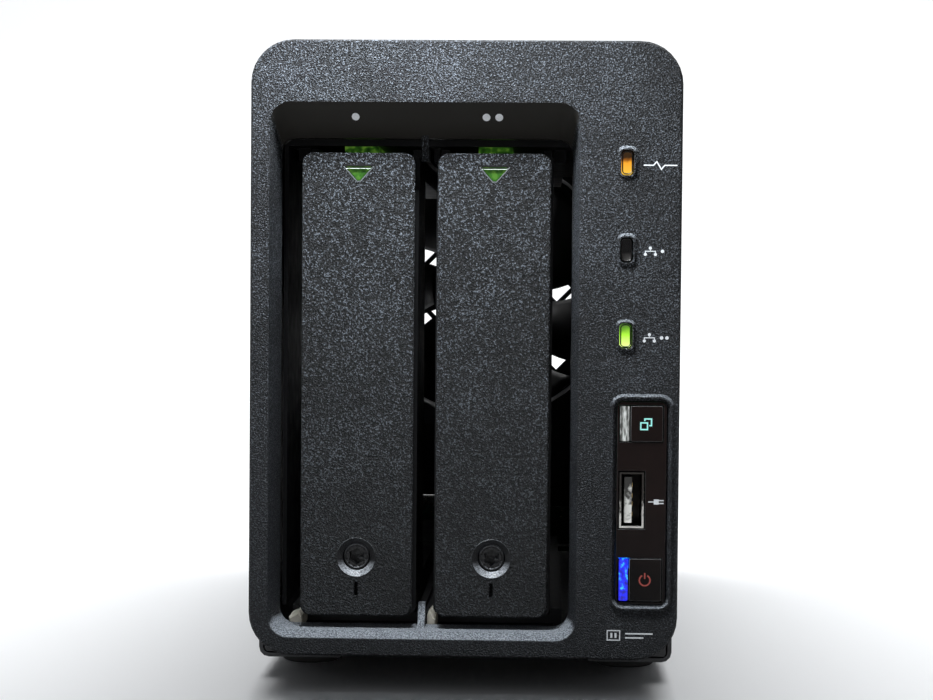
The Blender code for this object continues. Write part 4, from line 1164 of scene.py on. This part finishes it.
def fan():
    """The rotor with curved blades, and a label without words on the motor's fixed hub."""
    low, high = span("fan_rotor")
    x, z = (low.x + high.x) / 2, (low.z + high.z) / 2
    rim = [(low.y + 3.2, 0.2), (low.y + 3.2, 16.4), (high.y, 16.4), (high.y, 18.4)]
    hub = turned("Y", x, z, rim + moved(HUB_NOSE, low.y), 72)
    add_piece(
        "fan_rotor_hub", [hub], "fan_plastic", "fan_plastic", "fan_rotor",
        soft=0.12, replaces=("fan_rotor",),
    )
    for i in range(FAN_BLADES):
        blade = fan_blade(x, z, low.y + 9.5, 360 * i / FAN_BLADES)
        piece = add_piece(f"fan_blade_{i + 1}", [blade], "fan_plastic", "fan_plastic", "fan_rotor")
        piece.data.shade_smooth()
    back = span("fan_frame")[1].y - 0.4
    disc = moved([(-0.05, 0.2), (-0.05, 15.5), (0.06, 15.6), (0.06, 0.2)], back)
    add_piece("fan_label", [turned("Y", x, z, disc, 64)], "fan_label", "fan_plastic")
    ink = (back + 0.05, back + 0.09)
    rules = [stroke(circle(x, z, 13.6, 64), 0.35, *ink, closed=True)]
    rules += [stroke([(x - 8, z + v), (x + 8, z + v)], 0.5, *ink) for v in (-5.5, 5.5)]
    add_piece("fan_label_rules", rules, "ink_white", "nylon")


CAN = [(0.05, 3.1), (-0.8, 3.1), (-1.2, 2.8), (-1.5, 3.1), (-7.0, 3.1), (-7.4, 2.7)]
CAN_PLACES = ((-75, 30), (-66, 30), (-57, 30), (30, 70), (30, 80), (66, 60), (74, 60))
CHIPS = (  # y, z, width and height
    (-60, 110, 14, 14), (-28, 84, 9, 12), (10, 60, 12, 8),
    (40, 40, 10, 10), (62, 100, 7, 9), (-10, 128, 6, 8),
)
BACKPLANE_CHIPS = ((-14.2, 20.0, 5, 3), (-4.5, 20.5, 4, 4), (-9.5, 17.5, 6, 2.4), (6, 18.5, 3, 2))
SMALL_CHIPS = 60


def chip(face, y, z, width, tall, rise):
    """A square chip on an upright board's right side, with a slightly narrower top."""
    foot, top = (rectangle(y, z, width * k, tall * k) for k in (1, 0.95))
    return loft("X", (face, foot), (face + rise * 0.7, foot), (face + rise, top))


def board_parts():
    """Chips, capacitors and connectors on the main board and the drive backplane."""
    low, high = span("main_board")
    foot = high.x - 0.05
    random.seed(7)
    chips = [chip(foot, *place_and_size, 1.0) for place_and_size in CHIPS]
    for _ in range(SMALL_CHIPS):
        y, z = random.uniform(low.y + 5, high.y - 5), random.uniform(low.z + 5, high.z - 5)
        chips.append(chip(foot, y, z, random.uniform(0.8, 2.0), random.uniform(0.8, 1.6), 0.6))
    add_piece("main_board_chips", chips, "socket_plastic", "socket_plastic", soft=0.05)
    cans = [turned("X", y, z, moved(CAN, low.x), 24) for y, z in CAN_PLACES]
    add_piece("main_board_cans", cans, "aluminium", "aluminium", soft=0.1)
    face = span("sata_backplane")[0].y
    parts = [
        slab(rectangle(x + u, v, wide, tall), face + 0.05, face - 1.1)
        for x in BAYS.values() for u, v, wide, tall in BACKPLANE_CHIPS
    ]
    add_piece("backplane_chips", parts, "socket_plastic", "socket_plastic", soft=0.12)
    pins = []
    for bay in BAYS:
        low, high = span(f"sata_connector_{bay}")
        x = (low.x + high.x) / 2
        for start, pitch, count in ((3.2, 1.27 * 1.05, 15), (28.8, 1.27 * 1.15, 7)):
            for i in range(count):
                z = low.z + start + pitch * i
                pins.append(box(x - 1.32, x - 1.12, low.y + 0.6, low.y + 5.5, z - 0.35, z + 0.35))
    add_piece("drive_connector_pins", pins, "gold", "socket_steel")


def main():
    add_camera()
    add_lights(add_stage())
    make_materials()
    dress_cad_nodes()
    printed_marks()
    lock_barrels()
    door_rims()
    lamp_rims()
    lens_ridges()
    front_usb_contacts()
    rear_screws()
    rear_contacts()
    rear_shield()
    feet()
    fan()
    board_parts()


main()
